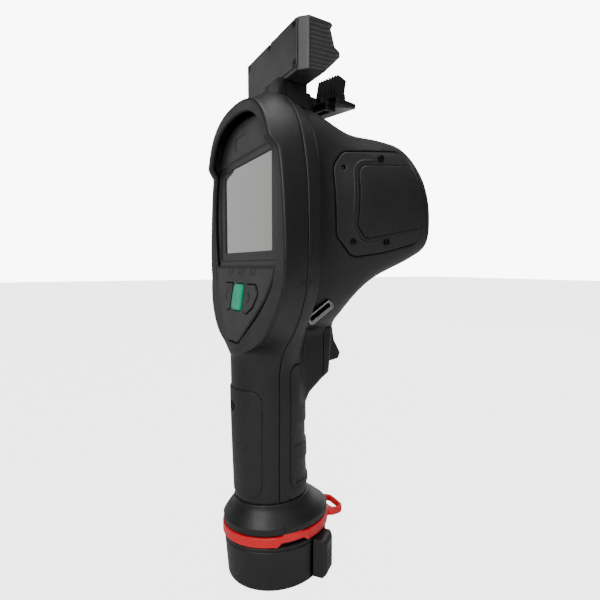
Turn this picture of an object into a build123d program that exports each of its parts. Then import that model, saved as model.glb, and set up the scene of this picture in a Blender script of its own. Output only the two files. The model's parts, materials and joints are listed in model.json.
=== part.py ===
"""Handheld thermal imaging camera: pistol grip, rear display, lens head and battery foot.

Millimetres. +X is the camera's right side, +Y points out through the lens and +Z is up.
The origin is the centre of the battery's flat underside, on the axis of the foot.
"""
import math
import os

from build123d import *

# ---------------------------------------------------------------- driving dimensions
WALL = 2.8                # moulded wall of both body shells
GAP = 0.3                 # clearance between bodies that move against each other
FIT = 0.05                # radial clearance of a pin that turns in its bore
PARTING_Y = -7.0          # plane where the two body shells meet
RIM_Y = -22.3             # rear edge of the housing round the display
BAND_Y = 2.5              # front edge of the raised band of the front shell
HOOD_Y = -26.5            # rear edge of the hood over the display
HOOD_LOW_Z = 250.0

PANEL_Y = -20.0           # rear face of the display panel
PANEL_T = 2.4
WINDOW_W = 72.0           # visible width of the 3.5 inch display window
WINDOW_H = 51.5
WINDOW_Z = 223.5
GLASS_Y = -18.2
GLASS_T = 1.4
LEDGE = 1.3               # glass hidden behind the panel all round
LEAN_TOP_Z = 186.0        # the panel leans back below this height
LEAN_TOP_Y = -22.0
LEAN_SLOPE = 0.155        # rearward travel per millimetre of height

KEY_Z = 171.3             # centre of the three keys
KEY_TRAVEL = 0.8
KEY_FLANGE = 1.0
DOME_H = 0.3
BOARD_T = 1.2

HANDLE_LOW_Z = 50.0
HANDLE_HALF_X = 20.0
PAD_T = 0.7               # rubber pads stand this far off the handle

# The foot is oval; its outlines are half width, half depth
SHOULDER_Z = 38.6         # the handle's flare ends here in an upright band
COLLAR_Z = 34.6           # underside of the collar's band
COLLAR_OVAL = (27.8, 33.4)
SEAT_OVAL = (26.3, 31.9)  # narrow seat that carries the lanyard ring
SEAT_LOW_Z = 27.9
RING_OVAL = (28.7, 34.3)
RING_LOW_Z = 28.3
LOOP_X, LOOP_Y = 3.0, 38.0
BATTERY_TOP_Z = 27.5
BATTERY_TOP_OVAL = (27.6, 32.8)
BATTERY_LOW_OVAL = (27.0, 30.6)
LID_Z = 25.1
SPIGOT_R = 23.0
SPIGOT_TOP_Z = 32.5
CONTACT_BLOCK_Z = 36.0
CONTACT_PITCH = 9.0
CONTACT_R = 2.0
CELL_R = 9.0
CELL_L = 34.0
CELL_Z = 13.6
CELL_MID_Y = -3.0
LATCH_ANGLE = 39.0        # latches sit this far forward of the side-to-side axis
LATCH_OUT_R = 36.2
LATCH_IN_R = 27.6
LATCH_W = 14.0
LATCH_LOW_Z = 2.6
LATCH_TOP_Z = 26.0
LATCH_TRAVEL = 2.0

LENS_Z = 226.0
LENS_R = 17.0
BUMPER_T = 5.0
FRONT_TILT = 15.0         # the lens head's front face leans back at the top
FRONT_POINT = (79.5, 244.0)
COVER_T = 1.2             # side cover plate, let into the shell
PAD_RAISE = 0.5

PIVOT_Y, PIVOT_Z = 32.0, 151.5
PIN_R = 1.5
TRIGGER_HALF_X = 5.5
SLOT_HALF_X = 6.2
HOUSING_HALF_X = 11.5
FRAME_Y = 28.0            # the trigger frame closes the housing in front of this depth
FRAME_TOP_Z = 151.5

BAR_HALF_X = 38.8
BAR_COVER_HALF_X = 34.0
BAR_REAR_Y = -3.3
BAR_COVER_T = 2.0
BAR_COVER_LOW_Z = 294.3
BAR_TOP_Z = 319.2
RIB_PITCH = 2.3
RIB_COUNT = 10
SHELF_TOP_Z = 289.0
SHELF_T = 2.4
SHELF_YAW = 15.0
SHELF_PIVOT = (8.0, 16.0)
LAMP_TILT = 12.0
LAMP_PIVOT_Z = 293.5

# Right-hand half outlines, bottom to top, as (x, z)
RIM_OUTLINE = [(0, 140), (34, 149), (54.5, 173), (56.8, 212), (52.3, 242), (37.5, 270), (0, 280.5)]
PART_OUTLINE = [(0, 138.7), (33, 150), (51, 177.4), (54, 212), (50.9, 242), (36, 273.5), (0, 288)]
BAND_OUTLINE = [(0, 142), (31, 152.5), (47.5, 177), (50.6, 212), (49, 243), (35, 270.5), (0, 284)]
PANEL_OUTLINE = [(29, 164), (41, 178), (46.5, 196), (48.3, 215), (45.5, 240), (34, 263.5), (0, 273.5)]
SHIELD_TIP = (7.6, 145.5)

# Lens head stations: depth, then the right-hand half outline
LENS_STATIONS = (
    (0, [(0, 150), (24, 156), (38, 185), (42, 215), (40, 250), (26, 276), (0, 281)]),
    (15, [(0, 148.5), (22, 156), (34, 182), (37.5, 212), (37, 250), (25, 274.7), (0, 276.5)]),
    (32, [(0, 149.8), (12, 153.5), (30, 177), (39, 205), (39.5, 248), (26, 267.4), (0, 268.4)]),
    (52, [(0, 175.5), (16, 176.6), (32, 186), (41, 207), (41.5, 246), (26, 265.6), (0, 266.4)]),
    (72, [(0, 188), (20, 188.6), (35, 194), (42.6, 210), (43, 244), (26, 263.8), (0, 264.6)]),
    (94, [(0, 199.5), (22, 200), (36, 204.5), (43.4, 219), (43.8, 242), (26, 261.6), (0, 262.4)]),
)
# Handle and neck stations: height, half width, rearmost and foremost depth
GRIP_STATIONS = (
    (HANDLE_LOW_Z, HANDLE_HALF_X, -26.2, 19.8),
    (92.0, HANDLE_HALF_X, -27.6, 18.2),
    (115.0, HANDLE_HALF_X + 0.5, -28.0, 17.5),
    (134.0, 22.0, -28.0, 16.0),
    (152.0, 33.0, -27.2, 14.0),
    (178.0, 50.0, -23.2, 4.0),
)
# Flared collar stations: height, half width, half depth, centre depth
FLARE_STATIONS = (
    (HANDLE_LOW_Z, HANDLE_HALF_X + 0.6, 23.4, -3.2),
    (47.0, 21.6, 25.4, -2.4),
    (43.0, 24.6, 29.6, -1.2),
    (SHOULDER_Z, *COLLAR_OVAL, 0.0),
)
# Outlines seen from the right, as (y, z)
HOUSING_OUTLINE = [(8, 106), (16, 106), (19.6, 111), (28, 118.2), (33.4, 122), (35, 140), (35.6, 155)]
TRIGGER_OUTLINE = [(28.5, 155.5), (38, 155), (40, 142), (45, 133), (43.5, 129), (35.4, 127.6), (33.6, 146)]
COVER_OUTLINE = [(24, 252.5), (17.5, 244), (20.5, 206.6), (31.6, 194.8), (52, 197), (78, 211), (68, 257.5)]
SIDE_PAD_OUTLINE = [(35, 243.8), (34, 218), (39.8, 205.5), (74, 218.7), (62, 248.8)]
SIDE_SCREWS = [(23.6, 243.7), (48.4, 251.0), (30.8, 203.6), (52.9, 203.6)]
BAR_OUTLINE = [
    (BAR_REAR_Y, 294.2),
    (BAR_REAR_Y, BAR_TOP_Z),
    (1.5, BAR_TOP_Z),
    (14.9, 318.4),
    (16.3, 317.2),
    (14.9, 314.9),
    (17.5, 306.3),
    (20.7, 304.4),
    (20.9, 301.8),
    (11.4, 292.3),
    (1.5, 291.7),
]
# Right-hand key in the panel's plane, measured from the key row's centre
ARROW_KEY = [(9.8, 8.0), (24.0, 8.0), (28.6, 3.2), (24.0, -4.2), (16.0, -8.4), (9.8, -7.8)]
POWER_KEY = [(-7.0, -7.6), (7.0, -7.6), (6.4, 7.8), (-6.4, 7.8)]


# ---------------------------------------------------------------- planes and outlines
def across(y):
    """Plane facing the user at depth y, with local axes +X and +Z."""
    return Plane.XZ.offset(-y)


def side(x):
    """Plane facing right at x, with local axes +Y and +Z."""
    return Plane.YZ.offset(x)


def panel_rear_y(z):
    """Depth of the leaning lower panel at height z."""
    return LEAN_TOP_Y - (LEAN_TOP_Z - z) * LEAN_SLOPE


def panel_plane(depth=0.0):
    """Plane through the key row on the leaning panel, facing the user; depth sinks it."""
    normal = Vector(0, -1, LEAN_SLOPE).normalized()
    origin = Vector(0, panel_rear_y(KEY_Z), KEY_Z) - normal * depth
    return Plane(origin=origin, x_dir=(1, 0, 0), z_dir=normal)


def front_plane(back=0.0):
    """Slanted front face of the lens head, moved back into the head."""
    tilt = math.radians(FRONT_TILT)
    normal = Vector(0, math.cos(tilt), math.sin(tilt))
    origin = Vector(0, *FRONT_POINT) - normal * back
    return Plane(origin=origin, x_dir=(1, 0, 0), z_dir=normal)


def shelf_plane(z, forward=0.0, right=0.0):
    """Horizontal plane at height z, turned with the shelf about its pivot bolt."""
    turned = Plane(origin=(*SHELF_PIVOT, z), x_dir=(1, 0, 0), z_dir=(0, 0, 1)).rotated((0, 0, SHELF_YAW))
    return Plane(origin=turned.from_local_coords((right, forward, 0)), x_dir=turned.x_dir, z_dir=(0, 0, 1))


def latch_plane(sign, z):
    """Horizontal plane on the foot's axis with +X along the right (1) or left (-1) latch."""
    angle = math.radians(LATCH_ANGLE)
    return Plane(origin=(0, 0, z), x_dir=(sign * math.cos(angle), math.sin(angle), 0), z_dir=(0, 0, 1))


def mirrored(points):
    """Close a right-hand half outline, listed bottom to top, into a full loop."""
    return points + [(-x, z) for x, z in reversed(points[1:-1])]


def pulled_in(points, amount):
    """Move outline points towards the outline's middle by amount."""
    middle = (points[0][1] + points[-1][1]) / 2
    moved = []
    for x, z in points:
        reach = math.hypot(x, z - middle)
        keep = (reach - amount) / reach
        moved.append((x * keep, middle + (z - middle) * keep))
    return moved


# ---------------------------------------------------------------- shared solids
def prism(points, plane, amount, round_r=0.0, spread=0.0, both=False):
    """Straight-sided prism on a polygon, with its corners rounded."""
    with BuildPart() as block:
        with BuildSketch(plane) as outline:
            with BuildLine():
                Polyline(*points, close=True)
            make_face()
            if round_r:
                fillet(outline.vertices(), round_r)
            if spread:
                offset(amount=spread)
        extrude(amount=amount, both=both)
    return block.part


def slab(x, y, z):
    """Box between the given (low, high) limits."""
    with BuildPart() as block:
        with BuildSketch(Plane.XY.offset(z[0])):
            with Locations(((x[0] + x[1]) / 2, (y[0] + y[1]) / 2)):
                Rectangle(x[1] - x[0], y[1] - y[0])
        extrude(amount=z[1] - z[0])
    return block.part


def rod(plane, radius, length):
    """Cylinder that starts on a plane and runs along its normal."""
    with BuildPart() as bar:
        with BuildSketch(plane):
            Circle(radius)
        extrude(amount=length)
    return bar.part


def screw(plane, head_r, head_h, shank_r, length):
    """Screw whose head top lies on the plane, driven in against the plane's normal."""
    with BuildPart() as part:
        with BuildSketch(plane):
            Circle(head_r)
        extrude(amount=-head_h)
        with BuildSketch(plane):
            Circle(shank_r)
        extrude(amount=-length)
        with BuildSketch(plane):
            RegularPolygon(head_r * 0.5, 6)
        extrude(amount=-head_h * 0.6, mode=Mode.SUBTRACT)
    return part.part


def screw_hole(plane, head_r, head_h, shank_r, length):
    """Tool that cuts the counterbored hole a screw sits in."""
    with BuildPart() as tool:
        with BuildSketch(plane):
            Circle(head_r)
        extrude(amount=-head_h)
        with BuildSketch(plane):
            Circle(shank_r)
        extrude(amount=-length)
    return tool.part


def head_solid(inset):
    """Display housing, lofted front to back; inset pulls every face inwards."""
    rings = ((RIM_Y + inset, RIM_OUTLINE), (PARTING_Y, PART_OUTLINE), (BAND_Y - inset, BAND_OUTLINE))
    with BuildPart() as head:
        for y, outline in rings:
            with BuildSketch(across(y)):
                with BuildLine():
                    Spline(*mirrored(pulled_in(outline, inset)), periodic=True)
                make_face()
        loft()
    return head.part


def grip_solid(grow):
    """Handle and the neck that widens into the display housing."""
    with BuildPart() as grip:
        for z, half_x, rear_y, front_y in GRIP_STATIONS:
            with BuildSketch(Plane.XY.offset(z)):
                with Locations((0, (rear_y + front_y) / 2)):
                    Ellipse(half_x + grow, (front_y - rear_y) / 2 + grow)
        loft()
    return grip.part


def lens_solid(grow, back=0.0):
    """Lens head, cut off by the slanted front face moved back."""
    with BuildPart() as head:
        for y, outline in LENS_STATIONS:
            with BuildSketch(across(y)):
                with BuildLine():
                    Spline(*mirrored(pulled_in(outline, -grow)), periodic=True)
                make_face()
        loft()
        split(bisect_by=front_plane(back), keep=Keep.BOTTOM)
    return head.part


def flare_solid(grow):
    """Foot of the handle, flared to the wide band above the battery."""
    with BuildPart() as flare:
        for z, half_x, half_y, mid_y in FLARE_STATIONS:
            with BuildSketch(Plane.XY.offset(z)):
                with Locations((0, mid_y)):
                    Ellipse(half_x + grow, half_y + grow)
        loft()
    return flare.part


def trigger_housing(inset):
    """Block in front of the neck that carries the trigger."""
    outline = HOUSING_OUTLINE + [(36, 172), (8, 172)]
    with BuildPart() as block:
        with BuildSketch(side(0)):
            with BuildLine():
                Polyline(*outline, close=True)
            make_face()
            if inset:
                offset(amount=-inset)
        extrude(amount=HOUSING_HALF_X - inset, both=True)
        if not inset:
            fillet(block.edges().filter_by(Plane.YZ).group_by(Axis.Y)[-3:], 4.0)
    return block.part


def panel_prism(spread, front_y, rear_y):
    """The panel's outline with its V-shaped shield, as a prism between two depths."""
    outline = pulled_in(PANEL_OUTLINE, -spread)
    tip_x, tip_z = SHIELD_TIP[0] + spread / 2, SHIELD_TIP[1] - spread
    with BuildPart() as block:
        with BuildSketch(across(rear_y)):
            with BuildLine():
                right = Spline(*outline)
                left = Spline(*[(-x, z) for x, z in reversed(outline)])
                Polyline(left @ 1, (-tip_x, tip_z), (tip_x, tip_z), right @ 0)
            make_face()
        extrude(amount=rear_y - front_y)
    return block.part


def side_surface_x(y):
    """Half width of the lens head's side at depth y."""
    return 37.3 + (y - 15.0) * 0.105


nodes = {}


def keep_node(name, part):
    """Label a finished piece and remember it for export."""
    part.label = name
    nodes[name] = part


# ---------------------------------------------------------------- body shells
outer_head = head_solid(0)
outer_grip = grip_solid(0)
outer_lens = lens_solid(0)
outer_housing = trigger_housing(0)
cover_prism = prism(COVER_OUTLINE, side(0), 60, round_r=5.0)
cover_pocket = prism(COVER_OUTLINE, side(30), 30, round_r=5.0, spread=0.4)
trigger_slot = slab((-SLOT_HALF_X, SLOT_HALF_X), (22, 50), (123.5, 158.5))
frame_block = slab((-20, 20), (FRAME_Y, 50), (116, FRAME_TOP_Z))

with BuildPart() as outer_body:
    add(outer_head)
    add(outer_grip)
    add(outer_lens)
    add(outer_housing)

with BuildPart() as hollow:
    add(head_solid(WALL))
    add(grip_solid(-WALL))
    add(lens_solid(-WALL, BUMPER_T + WALL))
    add(trigger_housing(WALL))

with BuildPart() as hood:
    with BuildSketch(across(RIM_Y + WALL)):
        with BuildLine():
            Spline(*mirrored(RIM_OUTLINE), periodic=True)
        make_face()
    extrude(amount=RIM_Y + WALL - HOOD_Y)
    split(bisect_by=Plane.XY.offset(HOOD_LOW_Z), keep=Keep.TOP)
    add(panel_prism(0.3, -10, -40), mode=Mode.SUBTRACT)

BOSS_Z = (192.0, 238.0)
with BuildPart() as bosses:
    for boss_z in BOSS_Z:
        for sign in (-1, 1):
            add(slab(sorted((sign * 40.5, sign * 60)), (-14.5, -1.0), (boss_z - 3.5, boss_z + 3.5)))
    add(outer_head, mode=Mode.INTERSECT)

SHELL_SCREW = (2.6, 1.8, 1.2, 12.6)
shell_screw_planes = []
for boss_z in BOSS_Z:
    for boss_x in (-44.0, 44.0):
        boss_end = Plane(origin=(boss_x, -13.5, boss_z), x_dir=(1, 0, 0), z_dir=(0, -1, 0))
        shell_screw_planes.append(boss_end)
with BuildPart() as shell_screws:
    for plane in shell_screw_planes:
        add(screw(plane, *SHELL_SCREW))
with BuildPart() as shell_screw_tool:
    for plane in shell_screw_planes:
        add(screw_hole(plane, *SHELL_SCREW))

GRIP_SCREW_Z = 107.0
grip_screw_plane = Plane(origin=(0, -27.4, GRIP_SCREW_Z), x_dir=(1, 0, 0), z_dir=(0, -1, 0))
GRIP_SCREW = (2.6, 2.0, 1.3, 32.0)
with BuildPart() as grip_screw:
    add(screw(grip_screw_plane, *GRIP_SCREW))
grip_screw_tool = screw_hole(grip_screw_plane.offset(6.0), 2.7, 8.0, 1.35, 38.4)
with BuildPart() as grip_boss:
    add(rod(Plane(origin=(0, -26.6, GRIP_SCREW_Z), x_dir=(1, 0, 0), z_dir=(0, 1, 0)), 3.4, 60.0))
    add(outer_grip, mode=Mode.INTERSECT)

with BuildPart() as pin:
    add(rod(side(-HOUSING_HALF_X + 1.0), PIN_R, 2 * HOUSING_HALF_X - 2.0))
trigger_pin = pin.part.moved(Location((0, PIVOT_Y, PIVOT_Z)))

ANCHOR_X = 29.5
ANCHOR_MID = (13.5, 163.3)
ANCHOR_TURN = 33.0
anchor_upright = Plane(origin=(ANCHOR_X, *ANCHOR_MID), x_dir=(0, 1, 0), z_dir=(1, 0, 0))
anchor_plane = anchor_upright.rotated((ANCHOR_TURN, 0, 0))
with BuildPart() as strap_anchor:
    with BuildSketch(anchor_plane.offset(-4.0)):
        RectangleRounded(19.0, 7.4, 3.6)
    extrude(amount=6.5)
    with BuildSketch(anchor_plane.offset(-4.0)):
        RectangleRounded(14.6, 3.0, 1.45)
    extrude(amount=6.5, mode=Mode.SUBTRACT)
    fillet(strap_anchor.faces().sort_by(Axis.X)[-1].edges(), 0.6)

with BuildPart() as anchor_seat:
    with BuildSketch(anchor_plane.offset(-4.0)):
        RectangleRounded(19.0, 7.4, 3.6)
    extrude(amount=14.0)

side_screw_planes = []
for screw_y, screw_z in SIDE_SCREWS:
    origin = (side_surface_x(screw_y), screw_y, screw_z)
    side_screw_planes.append(Plane(origin=origin, x_dir=(0, 1, 0), z_dir=(1, 0, 0)))
SIDE_SCREW = (1.9, 1.0, 1.0, 2.6)
with BuildPart() as side_screws:
    for plane in side_screw_planes:
        add(screw(plane, *SIDE_SCREW))
    mirror(about=Plane.YZ)
with BuildPart() as side_screw_tool:
    for plane in side_screw_planes:
        add(screw_hole(plane, *SIDE_SCREW))
        add(rod(plane, SIDE_SCREW[0], 6.0))
    mirror(about=Plane.YZ)
with BuildPart() as side_cover:
    add(cover_prism)
    add(lens_solid(0, 2.0), mode=Mode.INTERSECT)
    add(lens_solid(-COVER_T, 0), mode=Mode.SUBTRACT)
    add(side_screw_tool.part, mode=Mode.SUBTRACT)
with BuildPart() as side_pad:
    add(prism(SIDE_PAD_OUTLINE, side(20), 60, round_r=4.0))
    add(lens_solid(PAD_RAISE, 2.0), mode=Mode.INTERSECT)
    add(outer_lens, mode=Mode.SUBTRACT)

with BuildPart() as shell_cuts:
    add(cover_pocket)
    add(lens_solid(-COVER_T - 0.02, 0), mode=Mode.SUBTRACT)
    add(anchor_seat.part)
    mirror(about=Plane.YZ)

with BuildPart() as rear_shell:
    add(outer_body.part)
    add(hollow.part, mode=Mode.SUBTRACT)
    add(bosses.part)
    add(grip_boss.part)
    split(bisect_by=across(PARTING_Y), keep=Keep.TOP)
    add(hood.part)
    add(panel_prism(0.4, -15.5, -40), mode=Mode.SUBTRACT)
    add(shell_screw_tool.part, mode=Mode.SUBTRACT)
    add(grip_screw_tool, mode=Mode.SUBTRACT)

with BuildPart() as front_shell:
    add(outer_body.part)
    add(hollow.part, mode=Mode.SUBTRACT)
    add(bosses.part)
    add(grip_boss.part)
    split(bisect_by=across(PARTING_Y), keep=Keep.BOTTOM)
    split(bisect_by=front_plane(BUMPER_T), keep=Keep.BOTTOM)
    lens_bore = rod(Plane(origin=(0, 60, LENS_Z), x_dir=(1, 0, 0), z_dir=(0, 1, 0)), LENS_R + 5.0, 40)
    add(lens_bore, mode=Mode.SUBTRACT)
    add(shell_cuts.part, mode=Mode.SUBTRACT)
    add(frame_block, mode=Mode.SUBTRACT)
    add(trigger_slot, mode=Mode.SUBTRACT)
    add(trigger_pin, mode=Mode.SUBTRACT)
    add(shell_screw_tool.part, mode=Mode.SUBTRACT)
    add(grip_screw_tool, mode=Mode.SUBTRACT)
    add(side_screw_tool.part, mode=Mode.SUBTRACT)

# ---------------------------------------------------------------- display side
with BuildPart() as bezel_panel:
    add(panel_prism(0, -12, -40))
    panel_section = [
        (PANEL_Y, 280),
        (PANEL_Y, 192),
        (LEAN_TOP_Y, LEAN_TOP_Z),
        (panel_rear_y(140), 140),
        (panel_rear_y(140) + PANEL_T, 140),
        (LEAN_TOP_Y + PANEL_T, LEAN_TOP_Z),
        (PANEL_Y + PANEL_T, 192),
        (PANEL_Y + PANEL_T, 280),
    ]
    add(prism(panel_section, side(0), 60, both=True), mode=Mode.INTERSECT)
    with BuildSketch(across(PANEL_Y - 1)):
        with Locations((0, WINDOW_Z)):
            RectangleRounded(WINDOW_W, WINDOW_H, 2.0)
    extrude(amount=-10, mode=Mode.SUBTRACT)
    with BuildSketch(across(GLASS_Y)):
        with Locations((0, WINDOW_Z)):
            RectangleRounded(WINDOW_W + 2 * LEDGE, WINDOW_H + 2 * LEDGE, 2.0)
    extrude(amount=-10, mode=Mode.SUBTRACT)

with BuildPart() as display_window:
    with BuildSketch(across(GLASS_Y)):
        with Locations((0, WINDOW_Z)):
            RectangleRounded(WINDOW_W + 2 * LEDGE, WINDOW_H + 2 * LEDGE, 2.0)
    extrude(amount=-GLASS_T)

LCD_Y = (GLASS_Y + GLASS_T + 0.1, -13.2)
lcd_module = slab((-38.2, 38.2), LCD_Y, (193.5, 251.5))
main_board = slab((-36.0, 36.0), (-11.0, -9.4), (184.0, 258.0))


def key_parts(outline, round_r, raise_h):
    """A key with its retaining flange under the panel, and the opening it moves in."""
    flange_depth = PANEL_T + GAP
    with BuildPart() as key:
        add(prism(outline, panel_plane(flange_depth), raise_h + flange_depth, round_r))
        top = key.faces().sort_by(Axis.Y)[0]
        fillet(top.edges(), 0.6)
        add(prism(outline, panel_plane(flange_depth + KEY_FLANGE), KEY_FLANGE, round_r, spread=0.9))
    opening = prism(outline, panel_plane(PANEL_T + 2), PANEL_T + 8, round_r, spread=GAP)
    return key.part, opening


power_button, power_opening = key_parts(POWER_KEY, 2.4, 1.5)
right_key, right_opening = key_parts(ARROW_KEY, 2.2, 0.7)
left_key = mirror(right_key, about=Plane.YZ)
left_opening = mirror(right_opening, about=Plane.YZ)
with BuildPart() as bezel_cut:
    add(bezel_panel.part)
    for opening in (power_opening, right_opening, left_opening):
        add(opening, mode=Mode.SUBTRACT)

KEY_X = (-19.0, 0.0, 19.0)
board_depth = PANEL_T + GAP + KEY_FLANGE + KEY_TRAVEL + 0.1 + DOME_H
with BuildPart() as key_domes:
    with BuildSketch(panel_plane(board_depth)):
        with Locations(*[(x, 0) for x in KEY_X]):
            Circle(3.0)
    extrude(amount=DOME_H)
with BuildPart() as keypad_board:
    with BuildSketch(panel_plane(board_depth + BOARD_T)):
        RectangleRounded(50.0, 15.5, 2.0)
    extrude(amount=BOARD_T)

# ---------------------------------------------------------------- lens and sensor
lens_axis = Plane(origin=(0, 0, LENS_Z), x_dir=(1, 0, 0), z_dir=(0, 1, 0))
with BuildPart() as front_bumper:
    add(outer_lens)
    split(bisect_by=front_plane(BUMPER_T), keep=Keep.TOP)
    add(rod(lens_axis.offset(60), LENS_R + 5.0, 40), mode=Mode.SUBTRACT)
with BuildPart() as lens_barrel:
    with BuildSketch(lens_axis.offset(42)):
        Circle(LENS_R + 1.6)
        Circle(LENS_R - 1.4, mode=Mode.SUBTRACT)
    extrude(amount=30)
with BuildPart() as lens_ring:
    with BuildSketch(lens_axis.offset(72)):
        Circle(LENS_R + 4.6)
        Circle(LENS_R - 0.6, mode=Mode.SUBTRACT)
    extrude(amount=6.5)
    chamfer(lens_ring.faces().sort_by(Axis.Y)[-1].edges().sort_by(SortBy.LENGTH)[0], 2.5)
with BuildPart() as front_lens:
    add(rod(lens_axis.offset(66), LENS_R - 1.5, 8.6))
    fillet(front_lens.edges().filter_by(GeomType.CIRCLE).sort_by(Axis.Y)[-1], 4.0)
with BuildPart() as rear_lens:
    add(rod(lens_axis.offset(47), LENS_R - 1.5, 4.0))
sensor_core = slab((-15.0, 15.0), (21.0, 41.8), (LENS_Z - 15.0, LENS_Z + 15.0))
sensor_mount = slab((-26.0, 26.0), (18.4, 20.9), (LENS_Z - 20.0, LENS_Z + 20.0))

# ---------------------------------------------------------------- trigger
with BuildPart() as trigger:
    add(prism(TRIGGER_OUTLINE, side(0), TRIGGER_HALF_X, both=True))
    front_edges = trigger.edges().filter_by(GeomType.LINE).filter_by(Plane.YZ)
    fillet(front_edges.filter_by(lambda e: e.center().Y > 38.0), 2.0)
    add(rod(side(-20), PIN_R + FIT, 40).moved(Location((0, PIVOT_Y, PIVOT_Z))), mode=Mode.SUBTRACT)
with BuildPart() as trigger_frame:
    add(outer_housing)
    add(frame_block, mode=Mode.INTERSECT)
    add(trigger_slot, mode=Mode.SUBTRACT)
    add(trigger_pin, mode=Mode.SUBTRACT)
trigger_switch = slab((-3.2, 3.2), (23.5, 29.0), (131.0, 144.0))
with BuildPart() as switch_plunger:
    add(rod(Plane(origin=(0, 29.0, 139.0), x_dir=(1, 0, 0), z_dir=(0, 1, 0)), 1.2, 3.2))

# ---------------------------------------------------------------- grip pads
with BuildPart() as rear_grip_pad:
    add(grip_solid(PAD_T))
    add(grip_solid(0), mode=Mode.SUBTRACT)
    pad_outline = [(-45, 53.5), (-17, 53.5), (-17, 118), (-45, 118)]
    add(prism(pad_outline, side(0), 40, round_r=6.0, both=True), mode=Mode.INTERSECT)
    add(rod(grip_screw_plane.offset(10), 3.2, 20.0), mode=Mode.SUBTRACT)
    add(rod(grip_screw_plane.offset(5), 3.2, -20.0), mode=Mode.SUBTRACT)
with BuildPart() as front_grip_pad:
    add(grip_solid(PAD_T))
    add(grip_solid(0), mode=Mode.SUBTRACT)
    pad_outline = [(0.5, 56), (45, 56), (45, 132), (0.5, 132)]
    add(prism(pad_outline, side(0), 40, round_r=6.0, both=True), mode=Mode.INTERSECT)
    add(slab((-30, 30), (7.5, 60), (105.5, 140)), mode=Mode.SUBTRACT)

# ---------------------------------------------------------------- foot of the handle
with BuildPart() as base_collar:
    add(flare_solid(0))
    with BuildSketch(Plane.XY.offset(SHOULDER_Z)):
        Ellipse(*COLLAR_OVAL)
    extrude(amount=COLLAR_Z - SHOULDER_Z)
    with BuildSketch(Plane.XY.offset(COLLAR_Z)):
        Ellipse(*SEAT_OVAL)
    extrude(amount=SEAT_LOW_Z - COLLAR_Z)
    add(flare_solid(-WALL), mode=Mode.SUBTRACT)
    with BuildSketch(Plane.XY.offset(SEAT_LOW_Z)):
        Circle(SPIGOT_R + 0.4)
    extrude(amount=12.4, mode=Mode.SUBTRACT)

with BuildPart() as contact_block:
    add(rod(Plane.XY.offset(CONTACT_BLOCK_Z), SPIGOT_R - 4.0, 7.0))
with BuildPart() as body_contacts:
    with BuildSketch(Plane.XY.offset(SPIGOT_TOP_Z + GAP)):
        with GridLocations(CONTACT_PITCH, 1.0, 3, 1):
            Circle(CONTACT_R - 0.4)
    extrude(amount=CONTACT_BLOCK_Z - SPIGOT_TOP_Z - GAP)

with BuildPart() as lanyard_ring:
    with BuildSketch(Plane.XY.offset(RING_LOW_Z)):
        Ellipse(*RING_OVAL)
    extrude(amount=COLLAR_Z - 0.1 - RING_LOW_Z)
    with BuildSketch(Plane.XY.offset(RING_LOW_Z + 0.2)):
        with Locations((LOOP_X, LOOP_Y - 2.0)):
            RectangleRounded(21.0, 15.0, 6.0)
    extrude(amount=4.2)
    with BuildSketch(Plane.XY.offset(RING_LOW_Z - 1.0)):
        Ellipse(*SEAT_OVAL)
        with Locations((LOOP_X, LOOP_Y + 0.4)):
            RectangleRounded(13.0, 5.6, 2.7)
    extrude(amount=10, mode=Mode.SUBTRACT)

# ---------------------------------------------------------------- battery
pocket_r = LATCH_IN_R - LATCH_TRAVEL - 0.4
with BuildPart() as latch_pockets:
    for sign in (-1, 1):
        with BuildSketch(latch_plane(sign, LATCH_LOW_Z - 0.4)):
            with Locations((pocket_r + 10.0, 0)):
                Rectangle(20.0, LATCH_W + 0.8)
        extrude(amount=LATCH_TOP_Z - LATCH_LOW_Z + 0.8)
with BuildPart() as battery_case:
    with BuildSketch(Plane.XY):
        Ellipse(*BATTERY_LOW_OVAL)
    with BuildSketch(Plane.XY.offset(LID_Z)):
        Ellipse(*BATTERY_TOP_OVAL)
    loft()
    fillet(battery_case.faces().sort_by(Axis.Z)[0].edges(), 2.0)
    add(latch_pockets.part, mode=Mode.SUBTRACT)
    cell_room = slab((-17.4, 17.4), (CELL_MID_Y - 18.6, CELL_MID_Y + 18.6), (3.0, LID_Z))
    add(cell_room, mode=Mode.SUBTRACT)
with BuildPart() as battery_cells:
    for offset_y in (-CELL_R - 0.1, CELL_R + 0.1):
        add(rod(side(-CELL_L / 2), CELL_R, CELL_L).moved(Location((0, CELL_MID_Y + offset_y, CELL_Z))))
battery_board = slab((-15.0, 15.0), (-16.0, 10.0), (23.2, 24.4))
with BuildPart() as battery_lid:
    with BuildSketch(Plane.XY.offset(LID_Z)):
        Ellipse(*BATTERY_TOP_OVAL)
    extrude(amount=BATTERY_TOP_Z - LID_Z)
    add(latch_pockets.part, mode=Mode.SUBTRACT)
    with BuildSketch(Plane.XY.offset(BATTERY_TOP_Z)):
        Circle(SPIGOT_R)
    extrude(amount=SPIGOT_TOP_Z - BATTERY_TOP_Z)
    chamfer(battery_lid.faces().sort_by(Axis.Z)[-1].edges(), 0.8)
    with BuildSketch(Plane.XY.offset(LID_Z)):
        Rectangle(30.0, 20.0)
    extrude(amount=5.0, mode=Mode.SUBTRACT)
    with BuildSketch(Plane.XY.offset(SPIGOT_TOP_Z)):
        with GridLocations(CONTACT_PITCH, 1.0, 3, 1):
            Circle(CONTACT_R)
    extrude(amount=-0.6, mode=Mode.SUBTRACT)
with BuildPart() as battery_contacts:
    with BuildSketch(Plane.XY.offset(SPIGOT_TOP_Z - 0.6)):
        with GridLocations(CONTACT_PITCH, 1.0, 3, 1):
            Circle(CONTACT_R)
    extrude(amount=0.5)


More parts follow.
